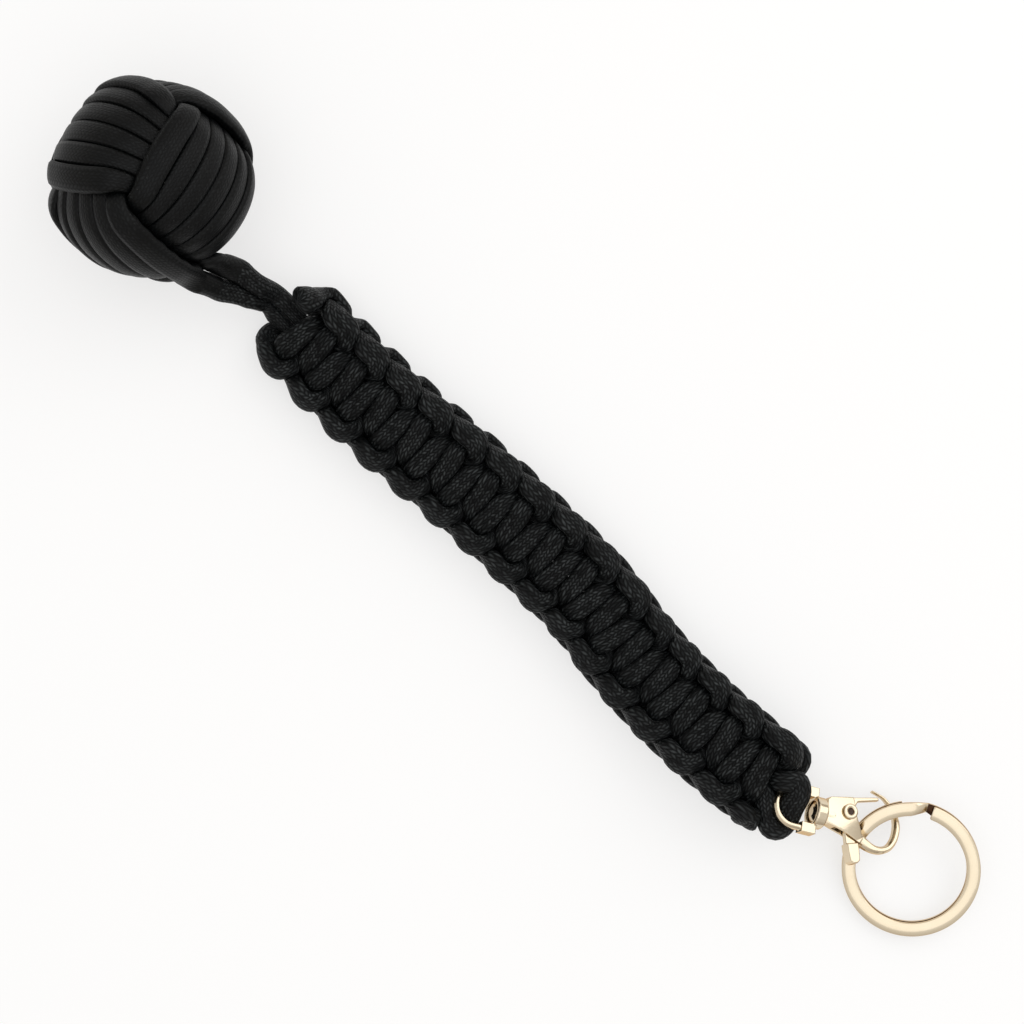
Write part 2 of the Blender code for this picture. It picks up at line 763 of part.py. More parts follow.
def make_stud(parent):
    """The pin on which the hook turns: its head sits in the cup, its shank in the body's socket."""
    floor = COLLAR_BACK + CUP_DEPTH - CLEARANCE
    top = floor - STUD_HEAD_LENGTH
    head, shank = STUD_HEAD_DIAMETER / 2, STUD_DIAMETER / 2
    profile = [
        (top - 0.0003, 0.0),
        (top - 0.0003, 0.45 * head),
        (top, 0.8 * head),
        (top + 0.0003, head),
        (floor, head),
        (floor, shank),
        (STUD_REACH, shank),
        (STUD_REACH, 0.0),
    ]
    turns = [2 * pi * i / STUD_SIDES for i in range(STUD_SIDES)]
    rings = []
    for along, radius in profile[1:-1]:
        rings.append([(along, radius * cos(turn), radius * sin(turn)) for turn in turns])
    points, faces = skin(rings)
    return solid("swivel_stud", points, faces, parent, gold_material("swivel_stud"))


def body_outline():
    """Side view of the hook's body, from the swivel end round to the root of the hook."""
    outline = [
        (0.063, -0.090),
        (0.302, -0.151),
        (0.503, -0.226),
        (0.533, -0.171),
        (0.482, -0.060),
        (0.427, 0.045),
        (0.367, 0.256),
        (0.095, 0.201),
        (0.063, 0.166),
    ]
    return [(HOOK_LENGTH * u, HOOK_LENGTH * v) for u, v in outline]


def hook_line():
    """Middle line of the hook from its root to the tip of its lip, with width and depth."""
    stations = [
        (0.462, -0.131, 1.0, 1.0),
        (0.533, -0.181, 1.0, 0.8),
        (0.623, -0.226, 0.8, 0.3),
        (0.714, -0.246, 0.3, 0.0),
        (0.799, -0.236, 0.1, 0.0),
        (0.879, -0.191, 0.0, 0.0),
        (0.940, -0.090, 0.0, 0.0),
        (0.960, 0.050, 0.0, 0.0),
        (0.940, 0.146, -0.2, -0.1),
        (0.905, 0.211, -0.4, -0.3),
        (0.844, 0.286, -0.6, -0.6),
        (0.769, 0.347, -0.8, -0.9),
        (0.693, 0.372, -1.0, -1.0),
        (0.618, 0.392, -1.0, -1.0),
    ]
    # The two shares count little beside the path, so that its points stay evenly spaced
    slight = 0.001
    path = smooth_path([(u, v, slight * w, slight * d) for u, v, w, d in stations], 40)
    widths, depths = [], []
    for width_share, depth_share in path[:, 2:] / slight:
        more = HOOK_WIDTH_ROOT if width_share > 0 else LIP_WIDTH
        widths.append(HOOK_WIDTH + abs(width_share) * (more - HOOK_WIDTH))
        more = BODY_THICKNESS if depth_share > 0 else LIP_DEPTH
        depths.append(HOOK_DEPTH + abs(depth_share) * (more - HOOK_DEPTH))
    return path[:, :2] * HOOK_LENGTH, widths, depths


def make_hook_body(parent):
    body = plate("hook_body", body_outline(), BODY_THICKNESS, parent, gold_material("hook_body"))
    path, widths, depths = hook_line()
    combine(body, flat_sweep("hook_bar", path, widths, depths, parent), "UNION")
    boss_start = COLLAR_BACK + COLLAR_LENGTH + CLEARANCE
    combine(body, rod("neck_boss", NECK_DIAMETER / 2, boss_start, 0.84 * BODY_ROOT, parent), "UNION")
    slot = block(
        "lever_slot",
        (BODY_ROOT, -2 * BODY_THICKNESS, -SLOT_WIDTH / 2),
        (RIVET_U + 0.93 * LEVER_HUB, 2 * BODY_THICKNESS, SLOT_WIDTH / 2),
        parent,
    )
    combine(body, slot, "DIFFERENCE")
    hole = RIVET_DIAMETER / 2 + CLEARANCE
    bore = rod("rivet_hole", hole, -BODY_THICKNESS, BODY_THICKNESS, parent, "w", (RIVET_U, RIVET_V))
    combine(body, bore, "DIFFERENCE")
    socket = rod("stud_socket", STUD_DIAMETER / 2 + CLEARANCE, -STUD_REACH, STUD_REACH + CLEARANCE, parent)
    combine(body, socket, "DIFFERENCE")
    return body


def lever_point(angle, distance, offset=0.0):
    """A point seen from the rivet: a distance along an angle and an offset to its left."""
    return (
        distance * cos(angle) - offset * sin(angle),
        distance * sin(angle) + offset * cos(angle),
    )


def tab_end():
    """The rounded end of the thumb tab, from its low side to its high side."""
    half = TAB_WIDTH / 2
    end = []
    for turn in (radians(-60), radians(-20), radians(20), radians(60)):
        end.append(lever_point(TAB_ANGLE, TAB_LENGTH - half * (1 - cos(turn)), half * sin(turn)))
    return end


def lever_outline():
    hub = LEVER_HUB / 2
    half = TAB_WIDTH / 2
    gate = GATE_ANGLE
    tab = TAB_ANGLE
    top = GATE_OFFSET + GATE_WIDTH
    outline = [
        lever_point(gate, GATE_LENGTH, GATE_OFFSET + 0.2 * GATE_WIDTH),
        lever_point(gate, GATE_LENGTH, top),
        lever_point(gate, 0.5 * GATE_LENGTH, top),
        lever_point(gate, 0.24 * LEVER_HUB, top),
        lever_point(gate, -0.24 * LEVER_HUB, 0.75 * top),
    ]
    outline += [(hub * cos(a), hub * sin(a)) for a in np.radians((140, 165, 190, 215))]
    outline += [
        lever_point(tab, 0.62 * LEVER_HUB, -0.75 * half),
        lever_point(tab, 1.2 * LEVER_HUB, -0.9 * half),
        lever_point(tab, 0.75 * TAB_LENGTH, -half),
    ]
    outline += tab_end()
    outline += [
        lever_point(tab, 0.75 * TAB_LENGTH, half),
        lever_point(tab, 1.2 * LEVER_HUB, 0.9 * half),
        (hub * cos(radians(-40)), hub * sin(radians(-40))),
        (hub, 0.0),
        (hub * cos(radians(35)), hub * sin(radians(35))),
        lever_point(gate, 0.76 * LEVER_HUB, GATE_OFFSET),
    ]
    return outline


def tab_outline():
    half = TAB_WIDTH / 2
    tab = TAB_ANGLE
    start = 0.60 * TAB_LENGTH
    outline = [lever_point(tab, start, -half), lever_point(tab, 0.75 * TAB_LENGTH, -half)]
    outline += tab_end()
    outline += [lever_point(tab, 0.75 * TAB_LENGTH, half), lever_point(tab, start, half)]
    return outline


def make_lever(parent):
    lever = plate("gate_lever", lever_outline(), LEVER_THICKNESS, parent, gold_material("gate_lever"))
    combine(lever, plate("thumb_pad", tab_outline(), TAB_THICKNESS, parent), "UNION")
    hole = RIVET_DIAMETER / 2 + CLEARANCE
    combine(lever, rod("lever_hole", hole, -LEVER_THICKNESS, LEVER_THICKNESS, parent, "w"), "DIFFERENCE")
    return lever


def make_rivet(parent):
    face = BODY_THICKNESS / 2 + CLEARANCE
    head, shank, bore = RIVET_HEAD / 2, RIVET_DIAMETER / 2, RIVET_BORE / 2
    half = [
        (face, shank),
        (face, head),
        (face + 0.5 * RIVET_HEAD_THICKNESS, head),
        (face + RIVET_HEAD_THICKNESS, 0.75 * head),
        (face + RIVET_HEAD_THICKNESS, bore + 0.0002),
        (face + 0.6 * RIVET_HEAD_THICKNESS, bore),
    ]
    profile = half + [(-along, radius) for along, radius in reversed(half)]
    return turned("lever_rivet", profile, parent, gold_material("lever_rivet"), 28, "w", (RIVET_U, RIVET_V))


def make_spring(parent):
    """A small compression spring between the body's root and the back of the tab."""
    start = BODY_ROOT + CLEARANCE + SPRING_WIRE / 2
    seat = RIVET_U + lever_point(TAB_ANGLE, 0.62 * LEVER_HUB, -0.75 * TAB_WIDTH / 2)[0]
    lean = SPRING_DIAMETER / tan(-TAB_ANGLE)
    end = seat - lean - CLEARANCE - SPRING_WIRE / 2
    radius = (SPRING_DIAMETER - SPRING_WIRE) / 2
    points = []
    steps = 10 * SPRING_TURNS
    for i in range(steps + 1):
        angle = 2 * pi * i / 10
        u = start + (end - start) * i / steps
        points.append((u, SPRING_V + radius * cos(angle), radius * sin(angle)))
    finish = material("lever_spring", STEEL_COLOUR, 0.3, 1.0)
    return cord_curve("lever_spring", points, SPRING_WIRE, parent, finish)


def ring_centre():
    rise = sin(RING_TILT) * RING_DIAMETER / 2 + cos(RING_TILT) * ring_thickness() / 2
    return Vector((strap_length() + RING_AHEAD, RING_Y, rise))


def ring_thickness():
    return 2 * RING_WIRE_THICKNESS + RING_TURN_GAP


def make_ring(parent, centre):
    """Flat wire wound twice, stepping from one level to the other beside the outer turn's cut end."""
    middle = (RING_DIAMETER - RING_WIRE_WIDTH) / 2
    half_width, half_height = RING_WIRE_WIDTH / 2, RING_WIRE_THICKNESS / 2
    ease = 0.22 * RING_WIRE_THICKNESS
    level = (RING_WIRE_THICKNESS + RING_TURN_GAP) / 2
    total = 4 * pi - RING_JOG - 2 * RING_CUT_GAP
    steps = 84
    rings = []
    for i in range(steps + 1):
        turn = total * i / steps
        share = (turn - (2 * pi - RING_JOG - RING_CUT_GAP)) / RING_JOG
        share = min(max(share, 0.0), 1.0)
        height = level * (1 - 2 * share**2 * (3 - 2 * share))
        angle = RING_CUT - turn
        ring = []
        for a, b in (
            (half_width - ease, half_height),
            (-half_width + ease, half_height),
            (-half_width, half_height - ease),
            (-half_width, -half_height + ease),
            (-half_width + ease, -half_height),
            (half_width - ease, -half_height),
            (half_width, -half_height + ease),
            (half_width, half_height - ease),
        ):
            r = middle + a
            ring.append((centre[0] + r * cos(angle), centre[1] + r * sin(angle), centre[2] + height + b))
        rings.append(ring)
    points, faces = skin(rings)
    return solid("split_ring", points, faces, parent, gold_material("split_ring"))


def make_core_ball(parent, hollow):
    mesh = bpy.data.meshes.new("steel_core_ball")
    work = bmesh.new()
    bmesh.ops.create_icosphere(work, subdivisions=2, radius=hollow - CLEARANCE)
    work.to_mesh(mesh)
    work.free()
    mesh.shade_smooth()
    return add_object("steel_core_ball", mesh, parent, material("steel_core_ball", STEEL_COLOUR, 0.25, 1.0))


def set_on_table(root):
    """Moves the whole assembly so that its box stands on z = 0, centred on the origin."""
    bpy.context.view_layer.update()
    graph = bpy.context.evaluated_depsgraph_get()
    low, high = np.full(3, np.inf), np.full(3, -np.inf)
    for item in bpy.context.scene.objects:
        if item.type not in ("MESH", "CURVE") or item.hide_render:
            continue
        evaluated = item.evaluated_get(graph)
        mesh = evaluated.to_mesh()
        corners = np.array([evaluated.matrix_world @ v.co for v in mesh.vertices])
        low, high = np.minimum(low, corners.min(0)), np.maximum(high, corners.max(0))
        evaluated.to_mesh_clear()
    root.location = (-(low[0] + high[0]) / 2, -(low[1] + high[1]) / 2, -low[2])
    bpy.context.view_layer.update()
    print("whole size in mm", np.round((high - low) * 1000, 2), "lowest", round(low[2] * 1000, 3))


def build():
    root = empty("keychain")
    fist_points, hollow = settled_fist()
    pressed = FLAT_SHARE * WINDING_CORD_DIAMETER
    height = WINDING_CORD_DIAMETER / 2 - fist_points[:, 2].min() - pressed
    fist_centre = Vector((FIST_CENTRE_X, FIST_CENTRE_Y, height))

    neck_place = (fist_centre + Vector(fist_points[0]) + on_strap((0, 0, 0))) / 2
    ball_joint = empty("ball_swing_axis", root, Matrix.Translation(neck_place))
    centre = empty("fist_centre", ball_joint, Matrix.Translation(fist_centre - neck_place))
    flattened_cord(
        "fist_winding",
        fist_points,
        WINDING_CORD_DIAMETER,
        centre,
        cord_material("fist_winding"),
        -fist_centre.z,
    )
    make_core_ball(centre, hollow)

    make_strap(root)
    make_neck(root, fist_centre, (fist_points[0], fist_points[-1]))
    clasp = clasp_frame()
    make_core_loop(root, clasp)

    bail_axis = empty("bail_tilt_axis", root, clasp @ Matrix.Translation((BAIL_BEND, 0, 0)))
    bail_frame = empty("bail_frame", bail_axis, Matrix.Translation((-BAIL_BEND, 0, 0)))
    make_bail(bail_frame)
    swivel_axis = empty("swivel_axis", bail_frame)
    make_stud(swivel_axis)
    make_hook_body(swivel_axis)
    make_rivet(swivel_axis)
    make_spring(swivel_axis)
    lever_axis = empty("lever_axis", swivel_axis, Matrix.Translation((RIVET_U, RIVET_V, 0)))
    make_lever(lever_axis)

    pivot = clasp @ Vector((RING_PIVOT_U, RING_PIVOT_V, 0))
    tilt = Matrix.Rotation(RING_TILT, 4, "X")
    ring_axis = empty("ring_swing_axis", swivel_axis, clasp.inverted() @ Matrix.Translation(pivot) @ tilt)
    make_ring(ring_axis, tilt.inverted() @ (ring_centre() - pivot))
    set_on_table(root)


build()
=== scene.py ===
import json
from math import cos, pi, radians, sin

import bmesh
import bpy
import numpy as np
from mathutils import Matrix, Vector, kdtree


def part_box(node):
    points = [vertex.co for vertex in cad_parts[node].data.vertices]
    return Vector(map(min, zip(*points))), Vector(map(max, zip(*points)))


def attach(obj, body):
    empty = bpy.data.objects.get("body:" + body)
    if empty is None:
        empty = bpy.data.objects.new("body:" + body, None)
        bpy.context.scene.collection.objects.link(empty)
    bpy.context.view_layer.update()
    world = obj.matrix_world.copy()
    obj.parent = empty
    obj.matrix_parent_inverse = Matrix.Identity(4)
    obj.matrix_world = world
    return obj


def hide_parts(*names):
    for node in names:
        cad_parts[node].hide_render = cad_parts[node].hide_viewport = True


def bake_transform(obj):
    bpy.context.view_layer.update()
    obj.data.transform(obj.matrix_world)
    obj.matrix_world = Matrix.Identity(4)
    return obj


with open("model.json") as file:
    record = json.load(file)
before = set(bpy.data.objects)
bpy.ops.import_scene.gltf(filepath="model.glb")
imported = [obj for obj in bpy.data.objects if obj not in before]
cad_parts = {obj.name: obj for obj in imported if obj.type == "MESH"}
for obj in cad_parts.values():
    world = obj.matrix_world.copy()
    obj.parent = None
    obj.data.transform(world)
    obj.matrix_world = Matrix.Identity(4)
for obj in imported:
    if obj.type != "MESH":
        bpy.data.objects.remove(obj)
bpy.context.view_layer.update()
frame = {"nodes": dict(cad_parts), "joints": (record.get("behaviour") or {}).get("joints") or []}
nodes = frame["nodes"]
joints = {joint["name"]: joint for joint in frame["joints"]}
tableHeight = 0.0  # what the object lies on, and no cord goes below it
print("keychain: frame loaded,", len(nodes), "nodes")


class Wire:
    # wraps one socket of a shader, so that its maths can be written as plain sums
    def __init__(self, shader, socket):
        self.shader = shader
        self.socket = socket

    def output(self, key):
        # another output of the same node
        return Wire(self.shader, self.socket.node.outputs[key])

    def __add__(self, other):
        return self.shader.maths("ADD", self, other)

    def __radd__(self, other):
        return self.shader.maths("ADD", other, self)

    def __sub__(self, other):
        return self.shader.maths("SUBTRACT", self, other)

    def __rsub__(self, other):
        return self.shader.maths("SUBTRACT", other, self)

    def __mul__(self, other):
        return self.shader.maths("MULTIPLY", self, other)

    def __rmul__(self, other):
        return self.shader.maths("MULTIPLY", other, self)

    def __truediv__(self, other):
        return self.shader.maths("DIVIDE", self, other)

    def __rtruediv__(self, other):
        return self.shader.maths("DIVIDE", other, self)

    def __pow__(self, other):
        return self.shader.maths("POWER", self, other)

    def __rpow__(self, other):
        return self.shader.maths("POWER", other, self)

    def __mod__(self, other):
        return self.shader.maths("FLOORED_MODULO", self, other)

    def __rmod__(self, other):
        return self.shader.maths("FLOORED_MODULO", other, self)


class Shader:
    # one node tree, and the one way its nodes are added
    def __init__(self, tree):
        self.tree = tree

    def add(self, kind, settings, inputs=(), output=0):
        node = self.tree.nodes.new(kind)
        for key, value in settings.items():
            setattr(node, key, value)
        pairs = inputs.items() if isinstance(inputs, dict) else enumerate(inputs)
        for key, value in pairs:
            self.plug(node.inputs[key], value)
        return Wire(self, node.outputs[output])

    def plug(self, socket, value):
        if isinstance(value, Wire):
            self.tree.links.new(value.socket, socket)
        else:
            socket.default_value = value

    def maths(self, operation, *values):
        return self.add("ShaderNodeMath", {"operation": operation}, values)

    def mix(self, share, first, second, way="MIX"):
        # by number, because the node's sockets for numbers and for colours have the same names
        settings = {"data_type": "RGBA", "blend_type": way}
        return self.add("ShaderNodeMix", settings, {0: share, 6: first, 7: second}, 2)

    def noise(self, place, scale, detail=2.0, rough=0.5):
        inputs = {"Vector": place, "Scale": scale, "Detail": detail, "Roughness": rough}
        return self.add("ShaderNodeTexNoise", {}, inputs)

    def bump(self, height, distance, strength=1.0, under=None):
        inputs = {"Height": height, "Distance": distance, "Strength": strength}
        if under is not None:
            inputs["Normal"] = under
        return self.add("ShaderNodeBump", {}, inputs)


class Finish(Shader):
    # one material with its Principled shader
    def __init__(self, name):
        self.material = bpy.data.materials.new(name)
        self.material.use_nodes = True
        super().__init__(self.material.node_tree)
        self.principled = self.tree.nodes["Principled BSDF"]

    def set(self, **values):
        for key, value in values.items():
            self.plug(self.principled.inputs[key.replace("_", " ")], value)

    def objectPlace(self):
        return self.add("ShaderNodeTexCoord", {}, output="Object")


def placed(name, data):
    # a new object in the scene
    thing = bpy.data.objects.new(name, data)
    bpy.context.scene.collection.objects.link(thing)
    return thing


def show(piece, body, finish, slot, *replaced):
    piece.data.materials.clear()
    piece.data.materials.append(finish)
    if body is not None:
        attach(piece, body)
    if replaced:
        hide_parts(*replaced)
    return piece


# Cords. Their middle lines are taken from the CAD cords, whose rings of corners are walked
# from one end face to the other; the cords are then made thicker, softer and braided.
readSet = {
    "weld": 2e-6,  # corners closer than this are one
    "sameWay": 0.9999,  # faces of an end that lie in one plane
    "roundness": 1.04,  # an end's furthest corner against its nearest
    "fewestCorners": 6,
}


def middleLine(name):
    work = bmesh.new()
    work.from_mesh(nodes[name].data)
    bmesh.ops.remove_doubles(work, verts=work.verts, dist=readSet["weld"])
    work.verts.index_update()

    def walk(start):
        seen, level, levels = set(start), list(start), []
        while level:
            levels.append(level)
            ahead = []
            for corner in level:
                for edge in corner.link_edges:
                    other = edge.other_vert(corner)
                    if other not in seen:
                        seen.add(other)
                        ahead.append(other)
            level = ahead
        return levels

    def flatGroup(face):
        group, edge = {face}, [face]
        while edge:
            for line in edge.pop().edges:
                for other in line.link_faces:
                    if other not in group and other.normal.dot(face.normal) > readSet["sameWay"]:
                        group.add(other)
                        edge.append(other)
        return group, {corner for one in group for corner in one.verts}

    # an end face is the flat group of enough corners that stand in a circle
    tested, cap = set(), None
    for face in work.faces:
        if face in tested:
            continue
        group, corners = flatGroup(face)
        tested |= group
        centre = sum((corner.co for corner in corners), Vector()) / len(corners)
        reach = [(corner.co - centre).length for corner in corners]
        if len(corners) >= readSet["fewestCorners"] and max(reach) < readSet["roundness"] * min(reach):
            cap = sorted(corners, key=lambda corner: corner.index)  # the same order in each run
            break
    line = [sum((corner.co for corner in ring), Vector()) / len(ring) for ring in walk(cap)]
    work.free()
    return np.array(line)


def evenSteps(points, step):
    # points a fixed step apart on a smooth curve through the given ones
    p = np.asarray(points, float)
    p = np.vstack([2 * p[0] - p[1], p, 2 * p[-1] - p[-2]])
    t = np.concatenate([[0], np.cumsum(np.linalg.norm(np.diff(p[:, :3], axis=0), axis=1) ** 0.5)])
    dense = []
    for i in range(1, len(p) - 2):
        t0, t1, t2, t3 = t[i - 1 : i + 3]
        for s in np.linspace(t1, t2, 12, endpoint=i == len(p) - 3):
            a1 = (t1 - s) / (t1 - t0) * p[i - 1] + (s - t0) / (t1 - t0) * p[i]
            a2 = (t2 - s) / (t2 - t1) * p[i] + (s - t1) / (t2 - t1) * p[i + 1]
            a3 = (t3 - s) / (t3 - t2) * p[i + 1] + (s - t2) / (t3 - t2) * p[i + 2]
            b1 = (t2 - s) / (t2 - t0) * a1 + (s - t0) / (t2 - t0) * a2
            b2 = (t3 - s) / (t3 - t1) * a2 + (s - t1) / (t3 - t1) * a3
            dense.append((t2 - s) / (t2 - t1) * b1 + (s - t1) / (t2 - t1) * b2)
    dense = np.array(dense)
    at = np.concatenate([[0], np.cumsum(np.linalg.norm(np.diff(dense[:, :3], axis=0), axis=1))])
    places = np.linspace(0, at[-1], round(at[-1] / step) + 1)
    return np.stack([np.interp(places, at, dense[:, i]) for i in range(dense.shape[1])], 1)


def joined(names):
    # the middle lines of cords that carry on into each other, with the number of each point's cord
    def apart(one, other):
        return np.linalg.norm(one - other)

    lines = [middleLine(name) for name in names]
    first, second = lines[0], lines[1]
    fromStart = min(apart(first[0], second[0]), apart(first[0], second[-1]))
    fromEnd = min(apart(first[-1], second[0]), apart(first[-1], second[-1]))
    if fromStart < fromEnd:
        lines[0] = first[::-1]
    for i in range(1, len(lines)):
        end = lines[i - 1][-1]
        if apart(lines[i][-1], end) < apart(lines[i][0], end):
            lines[i] = lines[i][::-1]
    return np.vstack([np.column_stack([line, np.full(len(line), i)]) for i, line in enumerate(lines)])


def followed(line, places):
    # where a cord that runs along X is at the given places along X
    line = line[line[:, 0].argsort()]
    return np.stack([np.interp(places, line[:, 0], line[:, k]) for k in range(3)], 1)


def smoothed(values, reach, axis=0, around=False):
    # a soft average over neighbours
    weights = np.exp(-np.linspace(-2, 2, 2 * reach + 1) ** 2)
    weights /= weights.sum()
    padding = [(reach, reach) if i == axis else (0, 0) for i in range(values.ndim)]
    padded = np.pad(values, padding, mode="wrap" if around else "edge")
    total = 0
    for k, weight in enumerate(weights):
        part = [slice(None)] * values.ndim
        part[axis] = slice(k, k + values.shape[axis])
        total = total + weight * padded[tuple(part)]
    return total


class Cord:
    # a cord's rings: middle points and the two ways across it; pressCords adds the radii
    def __init__(self, points, upHint, hintWeight, width, depth, sides, power):
        self.points, self.sides, self.power = points, sides, power
        self.width, self.depth = width, depth
        ahead = np.gradient(points, axis=0)
        self.along = ahead / np.linalg.norm(ahead, axis=1)[:, None]
        self.length = np.concatenate([[0], np.cumsum(np.linalg.norm(np.diff(points, axis=0), axis=1))])
        up = np.zeros_like(points)
        held = np.cross(self.along[0], (0.3, 0.5, 0.81))  # any way across the cord will do to start
        for i, way in enumerate(self.along):
            held = held - way * held.dot(way)
            held /= np.linalg.norm(held)
            if hintWeight[i] > 0:
                wanted = upHint[i] - way * upHint[i].dot(way)
                if np.linalg.norm(wanted) > 0.2:  # a hint nearly along the cord says nothing
                    wanted /= np.linalg.norm(wanted)
                    held = held + (wanted - held) * hintWeight[i]
                    held /= np.linalg.norm(held)
            up[i] = held
        self.up = up
        self.side = np.cross(self.along, up)
        self.angles = np.arange(sides) * 2 * pi / sides

    def ways(self):
        c, s = np.cos(self.angles), np.sin(self.angles)
        return self.side[:, None, :] * c[None, :, None] + self.up[:, None, :] * s[None, :, None]


pressSet = {
    "reach": 0.0058,  # how far off a neighbour is looked for
    "gap": 0.00003,
    "skip": 0.0050,  # a cord doesn't press on its own stretch nearer than this
    "facing": 0.12,  # the least cosine at which a neighbour is in the way
    "leastRadius": 0.0003,
    "mostSwell": 3,  # times a cord's own radius
    "sharpness": 9,
    "tipShare": 0.03,  # a dome is cut flat this near its very tip
}


def pressCords(cords):
    # each cord swells until it meets the cord beside it, half way between their middle lines
    tree = kdtree.KDTree(sum(len(cord.points) for cord in cords))
    places, radii, number, length = [], [], [], []
    for k, cord in enumerate(cords):
        places.append(cord.points)
        radii.append((cord.width + cord.depth) / 2)
        number.append(np.full(len(cord.points), k))
        length.append(cord.length)
    places, radii = np.vstack(places), np.concatenate(radii)
    number, length = np.concatenate(number), np.concatenate(length)
    for i, place in enumerate(places):
        tree.insert(place, i)
    tree.balance()
    start, sharp = 0, pressSet["sharpness"]
    for k, cord in enumerate(cords):
        c, s = np.abs(np.cos(cord.angles))[None], np.abs(np.sin(cord.angles))[None]
        power = cord.power
        own = ((c / cord.width[:, None]) ** power + (s / cord.depth[:, None]) ** power) ** (-1 / power)
        ways = cord.ways()
        met = np.full(own.shape, 1.0)
        for i, middle in enumerate(cord.points):
            found = np.array([index for _, index, _ in tree.find_range(middle, pressSet["reach"])])
            further = np.abs(length[found] - cord.length[i]) > pressSet["skip"]
            found = found[(number[found] != k) | further]
            if not len(found):
                continue
            away = places[found] - middle
            square = (away**2).sum(1)
            facing = ways[i] @ away.T
            share = (square + radii[start + i] ** 2 - radii[found] ** 2) / 2
            seen = facing > pressSet["facing"] * np.sqrt(square)
            hit = np.where(seen, share / np.maximum(facing, 1e-9), 1.0)
            met[i] = np.maximum(hit.min(1) - pressSet["gap"], pressSet["leastRadius"])
        met = np.minimum(met, pressSet["mostSwell"] * own)
        cord.radius = (own**-sharp + met**-sharp) ** (-1 / sharp)
        cord.radius = smoothed(smoothed(cord.radius, 3), 1, axis=1, around=True)
        start += len(cord.points)


def roundEnds(cord, roundness):
    # domes over a cord's two ends
    for distance in (cord.length, cord.length[-1] - cord.length):
        share = np.clip(distance / roundness, pressSet["tipShare"], 1)
        cord.radius = cord.radius * np.sqrt(1 - (1 - share) ** 2)[:, None]


def cordSkin(name, cord, rings, capFirst=False, capLast=False):
    # the mesh of a stretch of cord, with its length and turn in a UV map for the braid
    ways = cord.ways()
    corners = cord.points[:, None, :] + ways * cord.radius[:, :, None]
    corners[..., 2] = np.maximum(corners[..., 2], tableHeight)
    aheadStep = np.gradient(corners, axis=0)
    aroundStep = (np.roll(corners, -1, axis=1) - np.roll(corners, 1, axis=1)) / 2
    normals = np.cross(aroundStep, aheadStep)
    outward = (normals * ways).sum(2, keepdims=True)
    normals = np.where(outward < 0, -normals, normals)
    normals /= np.maximum(np.linalg.norm(normals, axis=2, keepdims=True), 1e-12)
    first, last = rings
    sides, count = cord.sides, last - first + 1
    points = corners[first : last + 1].reshape(-1, 3)
    vertexNormals = normals[first : last + 1].reshape(-1, 3)
    faces, places = [], []
    lengths = cord.length[first : last + 1] * 1000
    for i in range(count - 1):
        for k in range(sides):
            after = (k + 1) % sides
            near, far = i * sides, (i + 1) * sides
            faces.append((near + k, near + after, far + after, far + k))
            places += [(lengths[i], k / sides), (lengths[i], (k + 1) / sides)]
            places += [(lengths[i + 1], (k + 1) / sides), (lengths[i + 1], k / sides)]
    extra, extraNormals = [], []
    for wanted, ring, way in ((capFirst, 0, -1), (capLast, count - 1, 1)):
        if not wanted:
            continue
        centre = len(points) + len(extra)
        extra.append(cord.points[first + ring])
        extraNormals.append(way * cord.along[first + ring])
        for k in range(sides):
            after = (k + 1) % sides
            pair = (ring * sides + k, ring * sides + after)
            faces.append((centre, *(pair if way > 0 else pair[::-1])))
            places += [(lengths[ring], k / sides)] * 3
    if extra:
        points = np.vstack([points, extra])
        vertexNormals = np.vstack([vertexNormals, extraNormals])
    mesh = bpy.data.meshes.new(name)
    mesh.from_pydata(points.tolist(), [], [face[::-1] for face in faces])
    layer = mesh.uv_layers.new(name="UVMap")
    flipped, at = [], 0
    for face in faces:
        flipped += places[at : at + len(face)][::-1]
        at += len(face)
    layer.data.foreach_set("uv", np.array(flipped, np.float32).ravel())
    mesh.shade_smooth()
    mesh.normals_split_custom_set_from_vertices(vertexNormals.tolist())
    return placed(name, mesh)


# Braided black nylon. u runs along the cord in mm and v once round it.
braid = {
    "columns": 20,
    "pickLength": 1.05,
    "lean": 0.62,
    # the valleys between the picks are darker than the crests: painted shade
    "valleyShadeColour": (0.0008, 0.0009, 0.0010, 1),
    "crestColour": (0.0025, 0.0032, 0.0037, 1),
    # light spots on some crests: painted glints
    "glintColour": (0.080, 0.089, 0.091, 1),
    "lintColour": (0.11, 0.11, 0.105, 1),
    "bluntness": (0.7, 0.6),  # of a pick's crest, along the cord and across it
    "roughness": 0.50,
    "crestRoughness": 0.10,  # crests are worn this much smoother
    "yarnStretch": (3.2, 0.55),  # across a column and along it
    "yarnScale": 4.0,
    "yarnRelief": 0.25,
    "cloudScale": 160.0,
    "cloudLevel": 1.6,
    "cloudShare": 0.5,
    "cloudRoughness": 0.2,
    "lintScale": 2600.0,
    "lintFrom": (0.72, 0.80),  # only the noise's few highest spots are lint
    "lintMost": 0.5,
}
nylons = {
    "weave_nylon": {"height": 0.00018, "glints": 1.25, "valleyShade": 1.0, "shine": 0.10},
    "fist_nylon": {"height": 0.00005, "glints": 0.14, "valleyShade": 0.75, "shine": 0.14},
    "neck_nylon": {"height": 0.00015, "glints": 1.0, "valleyShade": 1.0, "shine": 0.12},
}


